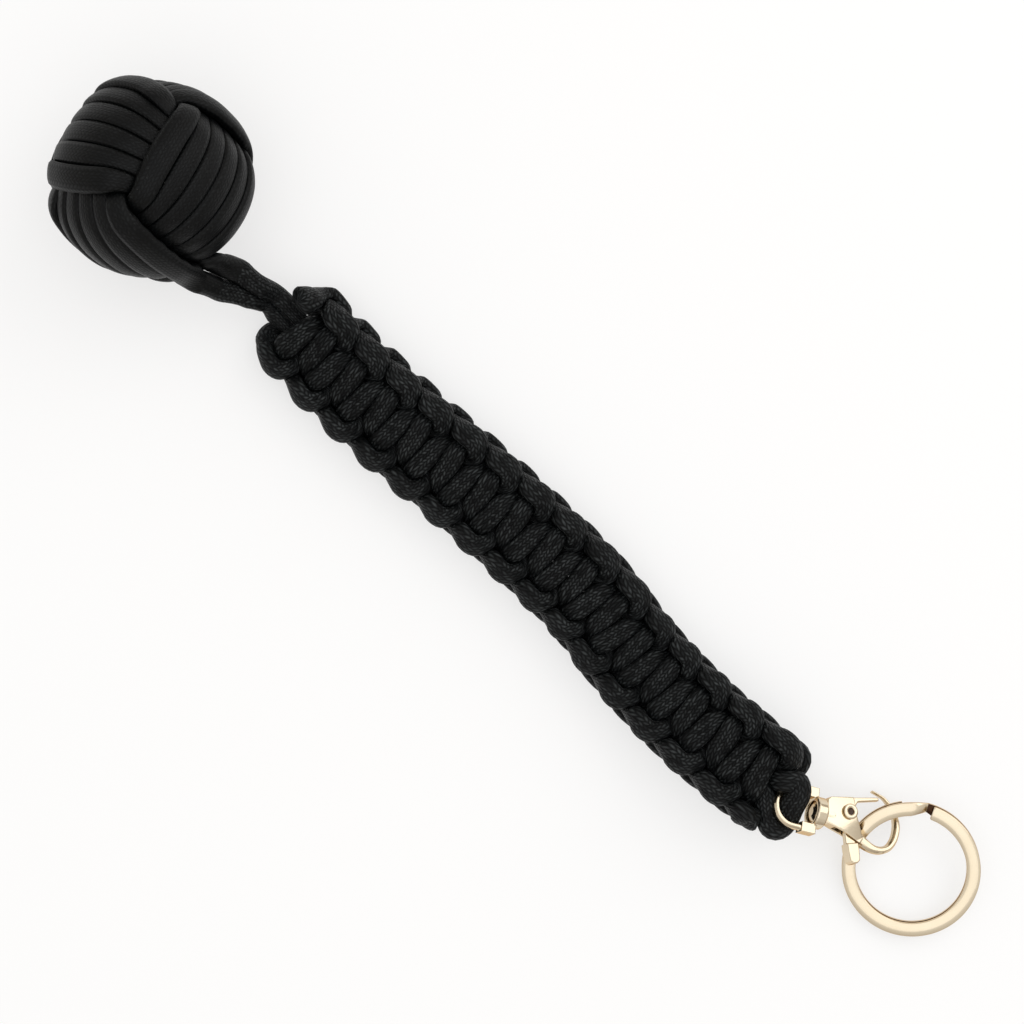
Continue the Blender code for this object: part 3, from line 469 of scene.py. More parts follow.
def braidedNylon(name):
    nylon = nylons[name]
    finish = Finish(name)
    place = finish.add("ShaderNodeUVMap", {"uv_map": "UVMap"})
    along = finish.add("ShaderNodeSeparateXYZ", {}, [place], "X")
    column = along.output("Y") * braid["columns"]
    number = finish.maths("FLOOR", column)
    across = column - number
    # neighbouring columns lean opposite ways and start half a pick further on
    side = 1 - 2 * (number % 2)
    step = along / braid["pickLength"] + side * (across - 0.5) * braid["lean"] + number * 0.5
    pick = finish.maths("FLOOR", step)
    bluntAlong, bluntAcross = braid["bluntness"]
    crestAlong = finish.maths("SINE", (step - pick) * pi) ** bluntAlong
    crestAcross = finish.maths("SINE", across * pi) ** bluntAcross
    crest = crestAlong * crestAcross
    cell = finish.add("ShaderNodeCombineXYZ", {}, [number, pick, 0.0])
    chance = finish.add("ShaderNodeTexWhiteNoise", {"noise_dimensions": "3D"}, {"Vector": cell})
    yarnAcross, yarnAlong = braid["yarnStretch"]
    yarnPlace = finish.add("ShaderNodeCombineXYZ", {}, [across * yarnAcross, step * yarnAlong, number])
    yarn = finish.noise(yarnPlace, braid["yarnScale"], 3.0, 0.6)
    solid = finish.objectPlace()
    cloudy = finish.noise(solid, braid["cloudScale"], 3.0, 0.55)
    lint = finish.noise(solid, braid["lintScale"], 1.0, 0.5)
    # painted shade: the valleys between the picks darker than their crests
    shade = finish.mix(crest * nylon["valleyShade"], braid["valleyShadeColour"], braid["crestColour"])
    # painted glints: light spots on the crests of picks chosen at random
    lit = crest**2 * chance * yarn * nylon["glints"]
    shade = finish.mix(lit, shade, braid["glintColour"])
    lintRange = {"Value": lint, "From Min": braid["lintFrom"][0], "From Max": braid["lintFrom"][1]}
    lintRange.update({"To Min": 0.0, "To Max": braid["lintMost"]})
    bright = finish.add("ShaderNodeMapRange", {"clamp": True}, lintRange)
    shade = finish.mix(bright * crest, shade, braid["lintColour"])
    grey = finish.add("ShaderNodeCombineColor", {}, [cloudy * braid["cloudLevel"]] * 3)
    shade = finish.mix(braid["cloudShare"], shade, grey, "MULTIPLY")
    rough = braid["roughness"] + braid["cloudRoughness"] * (cloudy - 0.5) - braid["crestRoughness"] * crest
    bumps = finish.bump(crest + yarn * braid["yarnRelief"], nylon["height"])
    finish.set(Base_Color=shade, Roughness=rough, Normal=bumps)
    finish.set(Specular_IOR_Level=nylon["shine"])
    return finish.material


print("keychain: reading the cords")
fistSet = {
    "outerRadius": 0.0203,
    "layer": 0.0035,  # how much lower a cord lies under a band
    "width": 0.0036,
    "depth": 0.00192,
    "power": 2.3,
    "faceOne": (-0.706, -0.014, 0.708),
    "faceTwo": (0.660, 0.349, 0.665),
    # each band's first angle, its turns, and which of the ball's three ways its own ones are
    "bands": ((135, 6, (0, 1, 2)), (45, 6.25, (2, 0, 1)), (45, 5.5, (1, 2, 0))),
    "loopPoints": 24,
    "highest": 43,  # a band's outermost turn, in degrees
    "gather": 0.27,
    "gatherBy": 50,
    "diveFrom": 54,
    "diveLater": 8,  # outer turns dive later
    "dive": 18,
    "squareness": 2.2,  # 2 is a sphere
    "leadPoints": 3,
    "leadRounds": 30,
    "apart": 0.0033,
    "apartRounds": 60,
    "apartShare": 0.25,  # how much of a missing distance one round makes up
    "alongCord": 2.1,  # points no further than this along the cord don't push each other
    "straighten": 0.04,
    "bulge": 0.0002,  # the furthest that a point is pushed outward
    "woundWithin": 0.0232,
    "woundBlend": 9,
    "flatFrom": 0.6,
    "flatHold": 0.35,
    "step": 0.0006,
    "sides": 24,
}
neckSet = {
    "width": 0.0028,
    "depth": 0.0021,
    "together": 0.32,
    "blendInset": 0.0012,
    "flatHold": 0.15,
    "sizeBlend": 6,  # rings over which a cord's size changes into the next one's
}
coreSet = {"radius": 0.00175}
loopSet = {"width": 0.0029, "depth": 0.0023, "blendInset": 0.001}
chainNames = [
    "core_cord_right",
    "neck_cord_lower",
    "fist_winding",
    "neck_cord_upper",
    "core_cord_left",
    "core_loop",
]


def woundBands():
    # the winding's three bands about the fist's middle: their turns pass over one band, gather a
    # little towards its edge and dive under the next
    one = Vector(fistSet["faceOne"]).normalized()
    two = Vector(fistSet["faceTwo"])
    two = (two - one * two.dot(one)).normalized()
    faces = np.array([one, two, one.cross(two)])
    line = []
    for start, turns, order in fistSet["bands"]:
        steps = round(turns * fistSet["loopPoints"])
        for i in range(steps + 1):
            turn = start + 360 * i / fistSet["loopPoints"]
            rise = fistSet["highest"] * (2 * i / steps - 1)
            fromFace = abs((turn + 90) % 180 - 90)
            under = fistSet["diveFrom"] + fistSet["diveLater"] * (rise / fistSet["highest"]) ** 2
            share = min(max((under - fromFace) / fistSet["dive"], 0), 1)
            share = share**2 * (3 - 2 * share)
            radius = fistSet["outerRadius"] - fistSet["layer"] * (1 - share)
            gathered = fistSet["gather"] * min(fromFace / fistSet["gatherBy"], 1) ** 2
            rise = radians(rise * (1 - gathered))
            turn = radians(turn)
            point = (radius * cos(turn) * cos(rise), radius * sin(turn) * cos(rise), radius * sin(rise))
            line.append(tuple(point[k] for k in order))
    line = np.array(line)
    away = np.linalg.norm(line, axis=1)
    power = fistSet["squareness"]
    rounded = (np.abs(line / away[:, None]) ** power).sum(1) ** (-1 / power)
    return line * rounded[:, None] @ faces


def eased(points, held):
    # pushes a line's stretches apart where they cross too closely, a little at a time
    moved = points.copy()
    furthest = np.linalg.norm(points, axis=1) + fistSet["bulge"]
    for _ in range(fistSet["apartRounds"]):
        half = (moved[:-1] + moved[1:]) / 2
        places = np.vstack([moved, half])
        square = (places**2).sum(1)
        apart = square[:, None] + square[None] - 2 * places @ places.T
        order = np.concatenate([np.arange(len(moved)), np.arange(len(half)) + 0.5])
        close = apart < fistSet["apart"] ** 2
        close &= np.abs(order[:, None] - order[None]) > fistSet["alongCord"]
        first, second = np.nonzero(close)
        gap = places[first] - places[second]
        length = np.maximum(np.linalg.norm(gap, axis=1), 1e-6)
        push = gap * ((fistSet["apart"] - length) / length * fistSet["apartShare"])[:, None]
        # what a place half way between two points is pushed, both points share
        move = np.zeros_like(moved)
        for ends in (np.floor(order[first]), np.ceil(order[first])):
            np.add.at(move, ends.astype(int), push * 0.5)
        move[held] = 0
        moved = moved + move
        soft = moved.copy()
        soft[1:-1] += fistSet["straighten"] * ((moved[:-2] + moved[2:]) / 2 - moved[1:-1])
        soft[held] = moved[held]
        radius = np.linalg.norm(soft, axis=1)
        most = np.where(held, radius, np.minimum(radius, furthest))
        moved = soft * (most / radius)[:, None]
    return moved


# The core, the neck, the winding and the loop are one cord, read as one chain of points
chain = joined(chainNames)
numberOf = {name: number for number, name in enumerate(chainNames)}
fistLow, fistHigh = (np.array(corner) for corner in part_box("steel_core_ball"))
fistMiddle = (fistLow + fistHigh) / 2
inFist = np.nonzero(chain[:, 3] == numberOf["fist_winding"])[0]
winding = chain[inFist, :3] - fistMiddle
bands = woundBands()
lead = fistSet["leadPoints"]
turned = np.linalg.norm(winding[lead] - bands[0]) > np.linalg.norm(winding[lead] - bands[-1])
winding[lead:-lead] = bands[::-1] if turned else bands
heldPoints = np.zeros(len(winding), bool)
heldPoints[: lead - 1] = heldPoints[1 - lead :] = True
chain[inFist, :3] = fistMiddle + eased(winding, heldPoints)
# the leads from the neck into the first and the last turn are smoothed
for _ in range(fistSet["leadRounds"]):
    for start in (inFist[0] - 4, inFist[-1] - 2):
        part = slice(start, start + 7)
        between = (chain[start - 1 : start + 6, :3] + chain[start + 1 : start + 8, :3]) / 2
        chain[part, :3] += 0.5 * (between - chain[part, :3])
# the two free cords lie closer together half way along
lower, upper = numberOf["neck_cord_lower"], numberOf["neck_cord_upper"]
for mine, other in ((lower, upper), (upper, lower)):
    here = chain[chain[:, 3] == mine]
    matched = followed(chain[chain[:, 3] == other], here[:, 0])
    share = (here[:, 0] - here[:, 0].min()) / np.ptp(here[:, 0])
    here[:, :3] += (matched - here[:, :3]) * (neckSet["together"] * np.sin(share * pi))[:, None]
    chain[chain[:, 3] == mine] = here
chain = evenSteps(chain, fistSet["step"])
owner = np.round(chain[:, 3]).astype(int)
line = chain[:, :3]
fromMiddle = np.linalg.norm(line - fistMiddle, axis=1)
inBall = (owner == numberOf["fist_winding"]) & (fromMiddle < fistSet["woundWithin"])
wound = smoothed(inBall.astype(float), fistSet["woundBlend"])
isCore = (owner == numberOf["core_cord_right"]) | (owner == numberOf["core_cord_left"])
isLoop = owner == numberOf["core_loop"]
width = np.where(isCore, coreSet["radius"], np.where(isLoop, loopSet["width"], neckSet["width"]))
depth = np.where(isCore, coreSet["radius"], np.where(isLoop, loopSet["depth"], neckSet["depth"]))
width, depth = smoothed(width, neckSet["sizeBlend"]), smoothed(depth, neckSet["sizeBlend"])
# flat on the ball's surface where it is wound, and elsewhere, but for the round core, as on a table
onBall = wound > fistSet["flatFrom"]
longCord = Cord(
    line,
    np.where(onBall[:, None], (line - fistMiddle) / fromMiddle[:, None], (0.0, 0.0, 1.0)),
    np.where(onBall, fistSet["flatHold"], np.where(isCore, 0.0, neckSet["flatHold"])),
    width + (fistSet["width"] - width) * wound,
    depth + (fistSet["depth"] - depth) * wound,
    fistSet["sides"],
    fistSet["power"],
)

# The weave is drawn in a little towards the strap's middle, since its cord is thicker here
weaveSet = {
    "width": 0.0030,
    "depth": 0.0020,
    "power": 2.35,
    "acrossScale": 0.93,
    "upScale": 0.88,
    "bightInward": 0.0013,
    "bightUp": 0.0005,
    "bightHeight": 0.0030,
    "bightFrom": 0.003,
    "barDive": 0.0007,
    "barEndFrom": 0.0045,
    "barEndOver": 0.003,
    "endReach": 0.0075,
    "endInward": 0.0019,
    "endUp": 0.0035,
    "endAlong": 0.0012,
    "endSwell": 0.15,
    "endRoundness": 0.0016,
    "halfWidth": 0.0085,
    "halfHeight": 0.0043,
    "flatHold": 0.4,
    "step": 0.0005,
    "sides": 24,
}
weave = evenSteps(middleLine("weave_cord"), weaveSet["step"])
leftCore = followed(middleLine("core_cord_left"), weave[:, 0])
rightCore = followed(middleLine("core_cord_right"), weave[:, 0])
middle = (leftCore + rightCore) / 2
across = leftCore - rightCore
across[:, 0] = 0
across /= np.linalg.norm(across, axis=1)[:, None]
upward = np.cross((1.0, 0.0, 0.0), across)
offset = weave - middle
offset[:, 0] = 0
sideways, height = (offset * across).sum(1), (offset * upward).sum(1)
# one half of the cord makes the front bars, and the other half the bights that lie over their ends
barHalf = np.arange(len(weave)) < len(weave) // 2
if height[barHalf].mean() < height[~barHalf].mean():
    barHalf = ~barHalf
bight = np.where(barHalf, 0, np.clip(height / weaveSet["bightHeight"], 0, 1))
bight = bight * np.clip(np.abs(sideways) / weaveSet["bightFrom"] - 1, 0, 1)
pastBar = np.abs(sideways) - weaveSet["barEndFrom"]
barEnd = np.where(barHalf, np.clip(pastBar / weaveSet["barEndOver"], 0, 1), 0)
run = np.concatenate([[0], np.cumsum(np.linalg.norm(np.diff(weave, axis=0), axis=1))])
tip = np.clip(1 - np.minimum(run, run[-1] - run) / weaveSet["endReach"], 0, 1)
lowTip = np.where(barHalf, 0, tip)
acrossMove = sideways * (weaveSet["acrossScale"] - 1)
acrossMove -= np.sign(sideways) * (weaveSet["bightInward"] * bight + weaveSet["endInward"] * tip)
upMove = height * (weaveSet["upScale"] - 1)
upMove += weaveSet["bightUp"] * bight - weaveSet["barDive"] * barEnd + weaveSet["endUp"] * lowTip
weave = weave + across * acrossMove[:, None] + upward * upMove[:, None]
weave[:, 0] += weaveSet["endAlong"] * tip
# the cord lies flat on the strap, whose section is an oval
outward = across * (sideways / weaveSet["halfWidth"] ** 2)[:, None]
outward = outward + upward * (height / weaveSet["halfHeight"] ** 2)[:, None]
weave = evenSteps(np.column_stack([weave, outward])[::2], weaveSet["step"])
outward, weave = weave[:, 3:], weave[:, :3]
outward /= np.maximum(np.linalg.norm(outward, axis=1), 1e-9)[:, None]
count = len(weave)
fromEnd = np.minimum(np.arange(count), np.arange(count)[::-1]) * weaveSet["step"]
swell = 1 + weaveSet["endSwell"] * np.clip(1 - fromEnd / weaveSet["endReach"], 0, 1)
weaveCord = Cord(
    weave,
    outward,
    np.full(count, weaveSet["flatHold"]),
    weaveSet["width"] * swell,
    weaveSet["depth"] * swell,
    weaveSet["sides"],
    weaveSet["power"],
)
print("keychain: pressing", len(line) + count, "rings of cord")
pressCords([longCord, weaveCord])
roundEnds(weaveCord, weaveSet["endRoundness"])
print("keychain: cords", round(longCord.length[-1], 2), "m and", round(weaveCord.length[-1], 2), "m long")

weaveFinish = braidedNylon("weave_nylon")
fistFinish = braidedNylon("fist_nylon")
neckFinish = braidedNylon("neck_nylon")
weavePiece = cordSkin("weave_rope", weaveCord, (0, count - 1), True, True)
show(weavePiece, "strap", weaveFinish, "cord", "weave_cord")
cuts = [0] + [int(np.argmax(owner >= k)) for k in range(1, len(chainNames))] + [len(owner) - 1]
chainPieces = {}
for k, name in enumerate(chainNames):
    caps = (k == 0, k == len(chainNames) - 1)
    chainPieces[name] = cordSkin(name + "_rope", longCord, (cuts[k], cuts[k + 1]), *caps)
show(chainPieces["fist_winding"], "fist", fistFinish, "cord", "fist_winding")
for name in ("core_cord_right", "core_cord_left"):
    show(chainPieces[name], "strap", neckFinish, "cord", name)
for name in ("neck_cord_lower", "neck_cord_upper"):
    piece = show(chainPieces[name], None, neckFinish, "cord", name)
    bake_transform(piece)
loopPiece = show(chainPieces["core_loop"], None, neckFinish, "cord", "core_loop")
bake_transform(loopPiece)


# Polished pale gold, with painted shade in dark brown where a mesh's shade value asks for it
gold = {
    "colour": (0.77, 0.68, 0.52, 1),
    "deepColour": (0.69, 0.55, 0.38, 1),
    # the dark brown of the painted shade
    "paintedShadeColour": (0.045, 0.022, 0.012, 1),
    "edgeTint": (0.80, 0.58, 0.38, 1),
    "roughness": 0.17,
    "patchScale": 110.0,
    "patchFade": 0.45,  # back into the plain colour
    "patchRoughness": 0.10,
    "scratchStretch": (900.0, 9000.0, 2600.0),
    "scratchRoughness": 0.10,
    "scratchDepth": 0.000006,
    "scratchStrength": 0.4,
    "waveScale": 700.0,
    "waveDepth": 0.00003,
    "waveStrength": 0.5,
}


def polishedGold(name, grain=1.0, roughness=gold["roughness"]):
    finish = Finish(name)
    solid = finish.objectPlace()
    patches = finish.noise(solid, gold["patchScale"], 4.0, 0.6)
    scratchPlace = finish.add("ShaderNodeMapping", {}, {"Vector": solid, "Scale": gold["scratchStretch"]})
    scratches = finish.noise(scratchPlace, 1.0, 2.0, 0.6)
    colour = finish.mix(patches, gold["colour"], gold["deepColour"])
    colour = finish.mix(gold["patchFade"], colour, gold["colour"])
    # the split ring's painted shade, in its notch and between its two turns
    paintedShade = finish.add("ShaderNodeAttribute", {"attribute_name": "paintedShade"}, output="Fac")
    colour = finish.mix(paintedShade, colour, gold["paintedShadeColour"])
    rough = roughness + gold["patchRoughness"] * (patches - 0.5)
    rough = rough + gold["scratchRoughness"] * (scratches - 0.5)
    wavy = finish.noise(solid, gold["waveScale"], 2.0, 0.5)
    under = finish.bump(wavy, gold["waveDepth"] * grain, gold["waveStrength"])
    bumps = finish.bump(scratches, gold["scratchDepth"], gold["scratchStrength"], under)
    finish.set(Base_Color=colour, Roughness=rough, Normal=bumps)
    finish.set(Metallic=1.0, Specular_Tint=gold["edgeTint"])
    return finish.material


# Cast pieces are copies of the CAD solids, remeshed finely and smoothed so that their edges are round
print("keychain: softening the cast metal")
castPieces = {
    "clasp_bail": {"body": "bail", "voxel": 0.00011, "rounds": 4},
    "hook_body": {"body": "hook", "voxel": 0.00010, "rounds": 5},
    "gate_lever": {"body": "lever", "voxel": 0.00009, "rounds": 4},
    "swivel_stud": {"body": "hook", "voxel": 0.00007, "rounds": 3},
}
# half the thickness that stays, how far out the rest is thinned most, and by how much of it
forkCrown = {"flatHalf": 0.0011, "reach": 0.0062, "drop": 0.85}


def softened(name, voxel, rounds, newName):
    copy = placed(newName, nodes[name].data.copy())
    weld = copy.modifiers.new("weld", "WELD")
    weld.merge_threshold = readSet["weld"]
    remesh = copy.modifiers.new("remesh", "REMESH")
    remesh.mode = "VOXEL"
    remesh.voxel_size = voxel
    smooth = copy.modifiers.new("smooth", "SMOOTH")
    smooth.factor = 0.5
    smooth.iterations = rounds
    graph = bpy.context.evaluated_depsgraph_get()
    mesh = bpy.data.meshes.new_from_object(copy.evaluated_get(graph))
    copy.modifiers.clear()
    copy.data = mesh
    mesh.name = newName
    mesh.shade_smooth()
    return copy


def crownFork(piece):
    # rounds the fork's two faces off away from the rivet, so that they don't reflect as flat mirrors
    centre = Vector(joints["lever_open"]["pos_m"])
    way = Vector(joints["lever_open"]["axis"]).normalized()
    for corner in piece.data.vertices:
        away = corner.co - centre
        height = away.dot(way)
        beyond = abs(height) - forkCrown["flatHalf"]
        if beyond > 0:
            far = (away - way * height).length
            share = min((far / forkCrown["reach"]) ** 2, 1.0) * forkCrown["drop"]
            corner.co -= way * (height / abs(height) * beyond * share)


for name, cast in castPieces.items():
    piece = softened(name, cast["voxel"], cast["rounds"], name + "_cast")
    if name == "hook_body":
        crownFork(piece)
    show(piece, cast["body"], polishedGold(name + "_gold"), "gold", name)

# Tubular rivet: rolled heads on both sides of the fork, and a dark plug in its bore as painted shade
rivetSet = {
    "bodyRadius": 0.00098,
    "headRadius": 0.00172,
    "boreRadius": 0.00074,
    "headHeight": 0.00046,
    "headEdge": 0.0001,
    "headSteps": 12,
    "headBluntness": 0.7,
    "boreShare": 0.995,
    "boreDish": 0.0002,
    "steps": 64,
    # the bore's painted shade, dark brown with lighter spots at random
    "boreShadeColour": (0.030, 0.012, 0.006, 1),
    "boreShadeLighter": (0.07, 0.03, 0.015, 1),
    "boreScale": 1500.0,
    "boreRoughness": (0.35, 0.2),  # the least, and what the noise adds
}


def turnedPiece(name, profile, centre, axis):
    # a closed profile of (distance along the axis, radius) turned about it
    side = axis.orthogonal().normalized()
    other = axis.cross(side)
    points, faces = [], []
    size, steps = len(profile), rivetSet["steps"]
    for i in range(steps):
        way = side * cos(2 * pi * i / steps) + other * sin(2 * pi * i / steps)
        points += [tuple(centre + axis * along + way * radius) for along, radius in profile]
        here, after = i * size, (i + 1) % steps * size
        for k in range(size):
            beside = (k + 1) % size
            faces.append((here + k, after + k, after + beside, here + beside))
    mesh = bpy.data.meshes.new(name)
    mesh.from_pydata(points, [], faces)
    work = bmesh.new()
    work.from_mesh(mesh)
    bmesh.ops.recalc_face_normals(work, faces=work.faces)
    work.to_mesh(mesh)
    work.free()
    mesh.shade_smooth()
    mesh.set_sharp_from_angle(angle=radians(55))
    return placed(name, mesh)


rivetAxis = Vector(joints["lever_open"]["axis"]).normalized()
rivetPoints = [corner.co for corner in nodes["lever_rivet"].data.vertices]
rivetCentre = sum(rivetPoints, Vector()) / len(rivetPoints)
reach = [(point - rivetCentre).dot(rivetAxis) for point in rivetPoints]
rivetCentre = rivetCentre + rivetAxis * ((max(reach) + min(reach)) / 2)
inner = (max(reach) - min(reach)) / 2 - rivetSet["headHeight"]
bore, head, headEdge = rivetSet["boreRadius"], rivetSet["headRadius"], rivetSet["headEdge"]
rolled = [(inner, rivetSet["bodyRadius"]), (inner, head - headEdge)]
for part in range(rivetSet["headSteps"] + 1):
    a = pi * part / rivetSet["headSteps"]
    along = inner + headEdge + (rivetSet["headHeight"] - headEdge) * sin(a) ** rivetSet["headBluntness"]
    rolled.append((along, (head + bore) / 2 + (head - bore) / 2 * cos(a)))
profile = rolled + [(-along, radius) for along, radius in reversed(rolled)]
rivetPiece = turnedPiece("rivet_tube", profile, rivetCentre, rivetAxis)
show(rivetPiece, "hook", polishedGold("rivet_gold"), "gold", "lever_rivet")
# a dark plug set in the bore: painted shade where the hole is dark
boreShadeFinish = Finish("rivet_bore")
boreNoise = boreShadeFinish.noise(boreShadeFinish.objectPlace(), rivetSet["boreScale"])
leastRough, moreRough = rivetSet["boreRoughness"]
boreShadeFinish.set(Base_Color=boreShadeFinish.mix(boreNoise, rivetSet["boreShadeColour"], rivetSet["boreShadeLighter"]))
boreShadeFinish.set(Roughness=leastRough + moreRough * boreNoise)
boreEdge, onAxis = bore * rivetSet["boreShare"], 0.00001
plug = [
    (-inner, onAxis),
    (-inner, boreEdge),
    (inner - headEdge, boreEdge),
    (inner - headEdge - rivetSet["boreDish"], onAxis),
]
boreShadePiece = turnedPiece("rivet_bore_shade", plug, rivetCentre, rivetAxis)
show(boreShadePiece, "hook", boreShadeFinish.material, "gold")

# Split ring: flat wire wound twice, with the step from one turn to the other beside its cut end
print("keychain: winding the split ring")
ringSet = {
    "outerRadius": 0.0150,
    "wireWidth": 0.0030,
    "wireThickness": 0.00135,
    "corner": 0.00022,
    "crown": 0.00024,
    "crownPlaces": (0.95, 0.8, 0.55, 0.28, 0, -0.28, -0.55, -0.8, -0.95),
    "turnGap": 0.00012,
    "cutAngle": radians(115.5),
    "cutGap": radians(5),
    "jog": radians(17),
    "pinch": 0.0010,
    "pinchReach": radians(15),
    "pinchShape": 1.3,
    "endTrim": 0.14,
    "endReach": radians(0.9),
    # how far the painted shade in the notch reaches
    "paintedShadeReach": radians(0.6),
    "paintedShadeFrom": 0.8,  # of the half height, so that only a face gets the painted shade
    "steps": 720,
    "grain": 0.4,
    "roughness": 0.15,
}


def wireSection(halfWidth, halfHeight):
    # crowned faces with small round corners, and flat edges
    corner, section = ringSet["corner"], []
    flatWidth, flatHeight = halfWidth - corner, halfHeight - corner
    for quarter, (signR, signH) in enumerate(((1, 1), (-1, 1), (-1, -1), (1, -1))):
        for part in range(5):
            a = pi / 2 * (quarter + part / 4)
            section.append((signR * flatWidth + corner * cos(a), signH * flatHeight + corner * sin(a)))
        if quarter % 2 == 0:
            for place in ringSet["crownPlaces"]:
                rise = halfHeight + ringSet["crown"] * (1 - place**2)
                section.append((signR * place * flatWidth, signH * rise))
        else:
            flat = flatHeight * 0.8
            section += [(signR * halfWidth, signH * flat), (signR * halfWidth, -signH * flat)]
    return section


def splitRing(name):
    normal = Vector(joints["ring_swing"]["axis"])
    rightWay = Vector((1, 0, 0))
    upWay = normal.cross(rightWay)
    low, high = (Vector(corner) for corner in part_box("split_ring"))
    centre = (low + high) / 2
    middle = ringSet["outerRadius"] - ringSet["wireWidth"] / 2
    halfWidth, halfHeight = ringSet["wireWidth"] / 2, ringSet["wireThickness"] / 2 - ringSet["crown"]
    level = (ringSet["wireThickness"] + ringSet["turnGap"]) / 2
    total = 4 * pi - ringSet["jog"] - 2 * ringSet["cutGap"]
    stepEnd = 2 * pi - ringSet["cutGap"]
    paintedShadeHeight = halfHeight * ringSet["paintedShadeFrom"]
    section = wireSection(halfWidth, halfHeight)
    points, faces, paintedShade = [], [], []
    sides = len(section)
    for i in range(ringSet["steps"] + 1):
        turn = total * i / ringSet["steps"]
        share = min(max((turn - stepEnd + ringSet["jog"]) / ringSet["jog"], 0.0), 1.0)
        height = level * (1 - 2 * share**2)
        angle = ringSet["cutAngle"] - turn
        # the wire is pinched from inside beside the step, and the cut end is a little rounded
        pinched = max(0.0, 1 - abs(turn - stepEnd) / ringSet["pinchReach"]) ** ringSet["pinchShape"]
        pinch = ringSet["pinch"] * pinched
        trim = 1 - ringSet["endTrim"] * max(0.0, 1 - turn / ringSet["endReach"]) ** 2
        # painted shade: dark in the notch under the cut end and between the two turns, where shade falls
        reach, secondTurn = ringSet["paintedShadeReach"], turn > pi * 1.5
        below = min(max((turn - stepEnd + reach) / reach, 0.0), 1.0)
        for outward, rise in section:
            inside = (halfWidth - outward) / (2 * halfWidth)
            r = middle + outward * trim + pinch * inside
            h = height + rise * trim
            points.append(centre + rightWay * (r * cos(angle)) + upWay * (r * sin(angle)) + normal * h)
            facing = rise > paintedShadeHeight if secondTurn else rise < -paintedShadeHeight
            paintedShade.append((below if secondTurn else 1.0) * float(facing))
    for i in range(ringSet["steps"]):
        here, ahead = i * sides, (i + 1) * sides
        for k in range(sides):
            after = (k + 1) % sides
            faces.append((here + k, ahead + k, ahead + after, here + after))
    last = ringSet["steps"] * sides
    faces.append(tuple(range(sides)))
    faces.append(tuple(last + k for k in reversed(range(sides))))
    mesh = bpy.data.meshes.new(name)
    mesh.from_pydata([tuple(point) for point in points], [], faces)
    mesh.attributes.new("paintedShade", "FLOAT", "POINT").data.foreach_set("value", paintedShade)
    mesh.shade_smooth()
    mesh.set_sharp_from_angle(angle=radians(50))
    return placed(name, mesh)


ringFinish = polishedGold("ring_gold", ringSet["grain"], ringSet["roughness"])
show(splitRing("split_ring_wire"), "ring", ringFinish, "gold", "split_ring")

# Inner pieces that stay as they are, with their own finish
steelSet = {
    "light": (0.55, 0.55, 0.56, 1),
    "dark": (0.42, 0.42, 0.43, 1),
    "scale": 900.0,
    "roughness": (0.2, 0.2),  # the least, and what the noise adds
}
steel = Finish("spring_steel")
steelNoise = steel.noise(steel.objectPlace(), steelSet["scale"])
leastRough, moreRough = steelSet["roughness"]
steel.set(Base_Color=steel.mix(steelNoise, steelSet["light"], steelSet["dark"]))
steel.set(Roughness=leastRough + moreRough * steelNoise, Metallic=1.0)
for name in ("lever_spring", "steel_core_ball"):
    nodes[name].data.materials.clear()
    nodes[name].data.materials.append(steel.material)

print("keychain: table, light and camera")
floorSet = {"half": 4.0, "colour": (0.98, 0.98, 0.98, 1), "roughness": 0.9, "glow": 0.60}
half = floorSet["half"]
floorMesh = bpy.data.meshes.new("table_top")
floorCorners = [(x, y, tableHeight) for x, y in ((-half, -half), (half, -half), (half, half), (-half, half))]
floorMesh.from_pydata(floorCorners, [], [(0, 1, 2, 3)])
floor = placed("table_top", floorMesh)
floorFinish = Finish("table_paper")
floorFinish.set(Base_Color=floorSet["colour"], Roughness=floorSet["roughness"], Specular_IOR_Level=0.0)
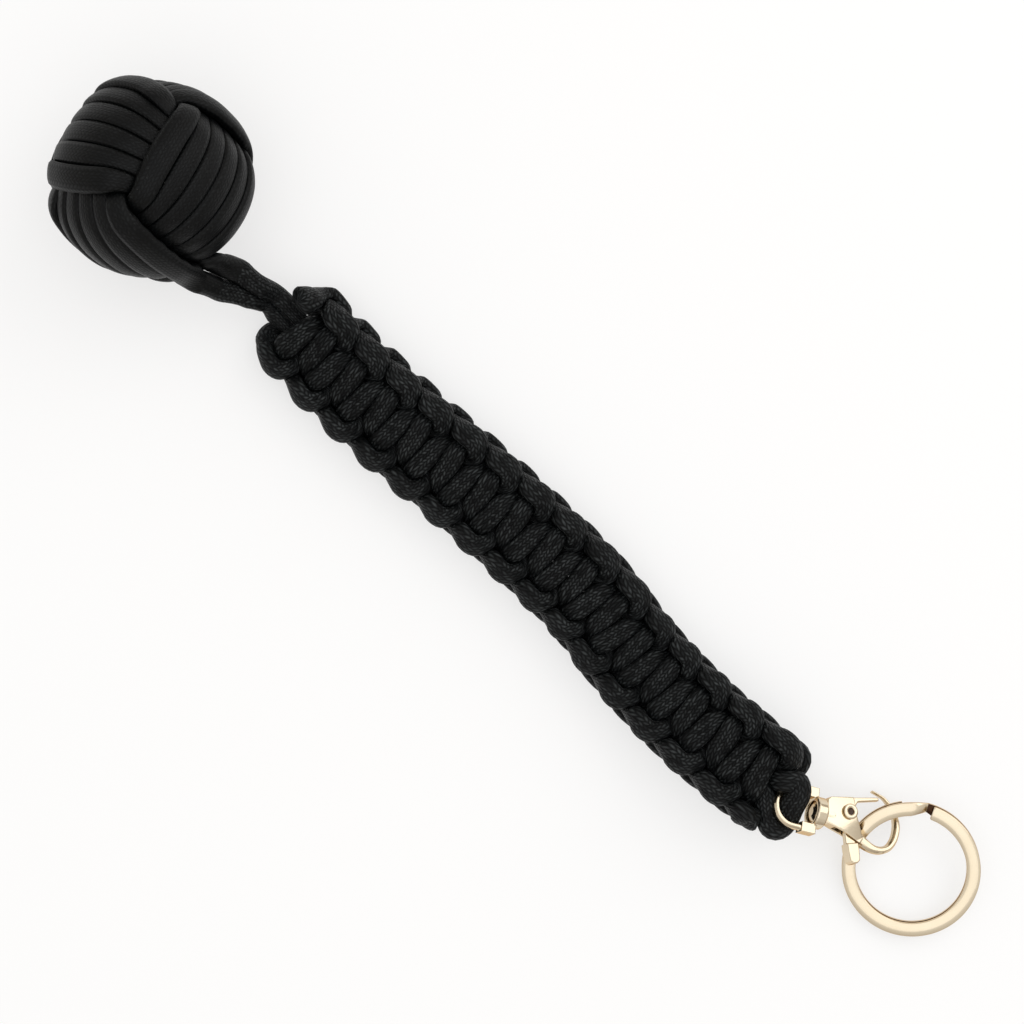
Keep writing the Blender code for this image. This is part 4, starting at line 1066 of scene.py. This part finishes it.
# the camera and reflections see part of the floor's white as it is, and part with its shadow
glow = floorFinish.add("ShaderNodeEmission", {}, {"Color": (1, 1, 1, 1), "Strength": 1.0})
rays = floorFinish.add("ShaderNodeLightPath", {})
seen = rays.output("Is Camera Ray")
for kind in ("Is Glossy Ray", "Is Transmission Ray"):
    seen = floorFinish.maths("MAXIMUM", seen, rays.output(kind))
surface = Wire(floorFinish, floorFinish.principled.outputs["BSDF"])
mixed = floorFinish.add("ShaderNodeMixShader", {}, [seen * floorSet["glow"], surface, glow])
floorFinish.plug(floorFinish.tree.nodes["Material Output"].inputs["Surface"], mixed)
floorMesh.materials.append(floorFinish.material)

# the studio's walls are dimmer and warmer low down than overhead
wallSet = {"low": 0.38, "high": 1.0, "lowColour": (1.0, 0.86, 0.70, 1), "highColour": (1.0, 1.0, 1.0, 1)}
scene = bpy.context.scene
scene.view_settings.view_transform = "Standard"
scene.world = bpy.data.worlds.new("studio")
scene.world.use_nodes = True
walls = Shader(scene.world.node_tree)
wallPlace = walls.add("ShaderNodeTexCoord", {}, output="Generated")
wallHeight = walls.maths("MAXIMUM", walls.add("ShaderNodeSeparateXYZ", {}, [wallPlace], "Z"), 0.0)
background = walls.tree.nodes["Background"]
wallColour = walls.mix(wallHeight**0.5, wallSet["lowColour"], wallSet["highColour"])
walls.plug(background.inputs["Color"], wallColour)
walls.plug(background.inputs["Strength"], wallSet["low"] + wallHeight * (wallSet["high"] - wallSet["low"]))

lamps = {
    "key_light": {"place": (0.12, 0.72, 0.50), "size": 0.75, "power": 1.9},
    "top_light": {"place": (0.12, -0.10, 1.00), "size": 1.10, "power": 1.5},
}
for name, lamp in lamps.items():
    light = bpy.data.lights.new(name, "AREA")
    light.size = lamp["size"]
    light.energy = lamp["power"]
    holder = placed(name, light)
    holder.location = lamp["place"]
    holder.rotation_euler = (-Vector(lamp["place"])).to_track_quat("-Z", "Y").to_euler()

# straight above the object; the field is how much of the table the picture shows across
cameraSet = {"place": (-0.003497, 0.002268, 0.55), "turn": radians(44.5), "field": 0.2255, "sensor": 36}
camera = bpy.data.cameras.new("camera")
camera.sensor_width = cameraSet["sensor"]
camera.lens = cameraSet["sensor"] * cameraSet["place"][2] / cameraSet["field"]
camera.clip_start = 0.01
scene.camera = placed("camera", camera)
scene.camera.location = cameraSet["place"]
scene.camera.rotation_euler = (0, 0, cameraSet["turn"])
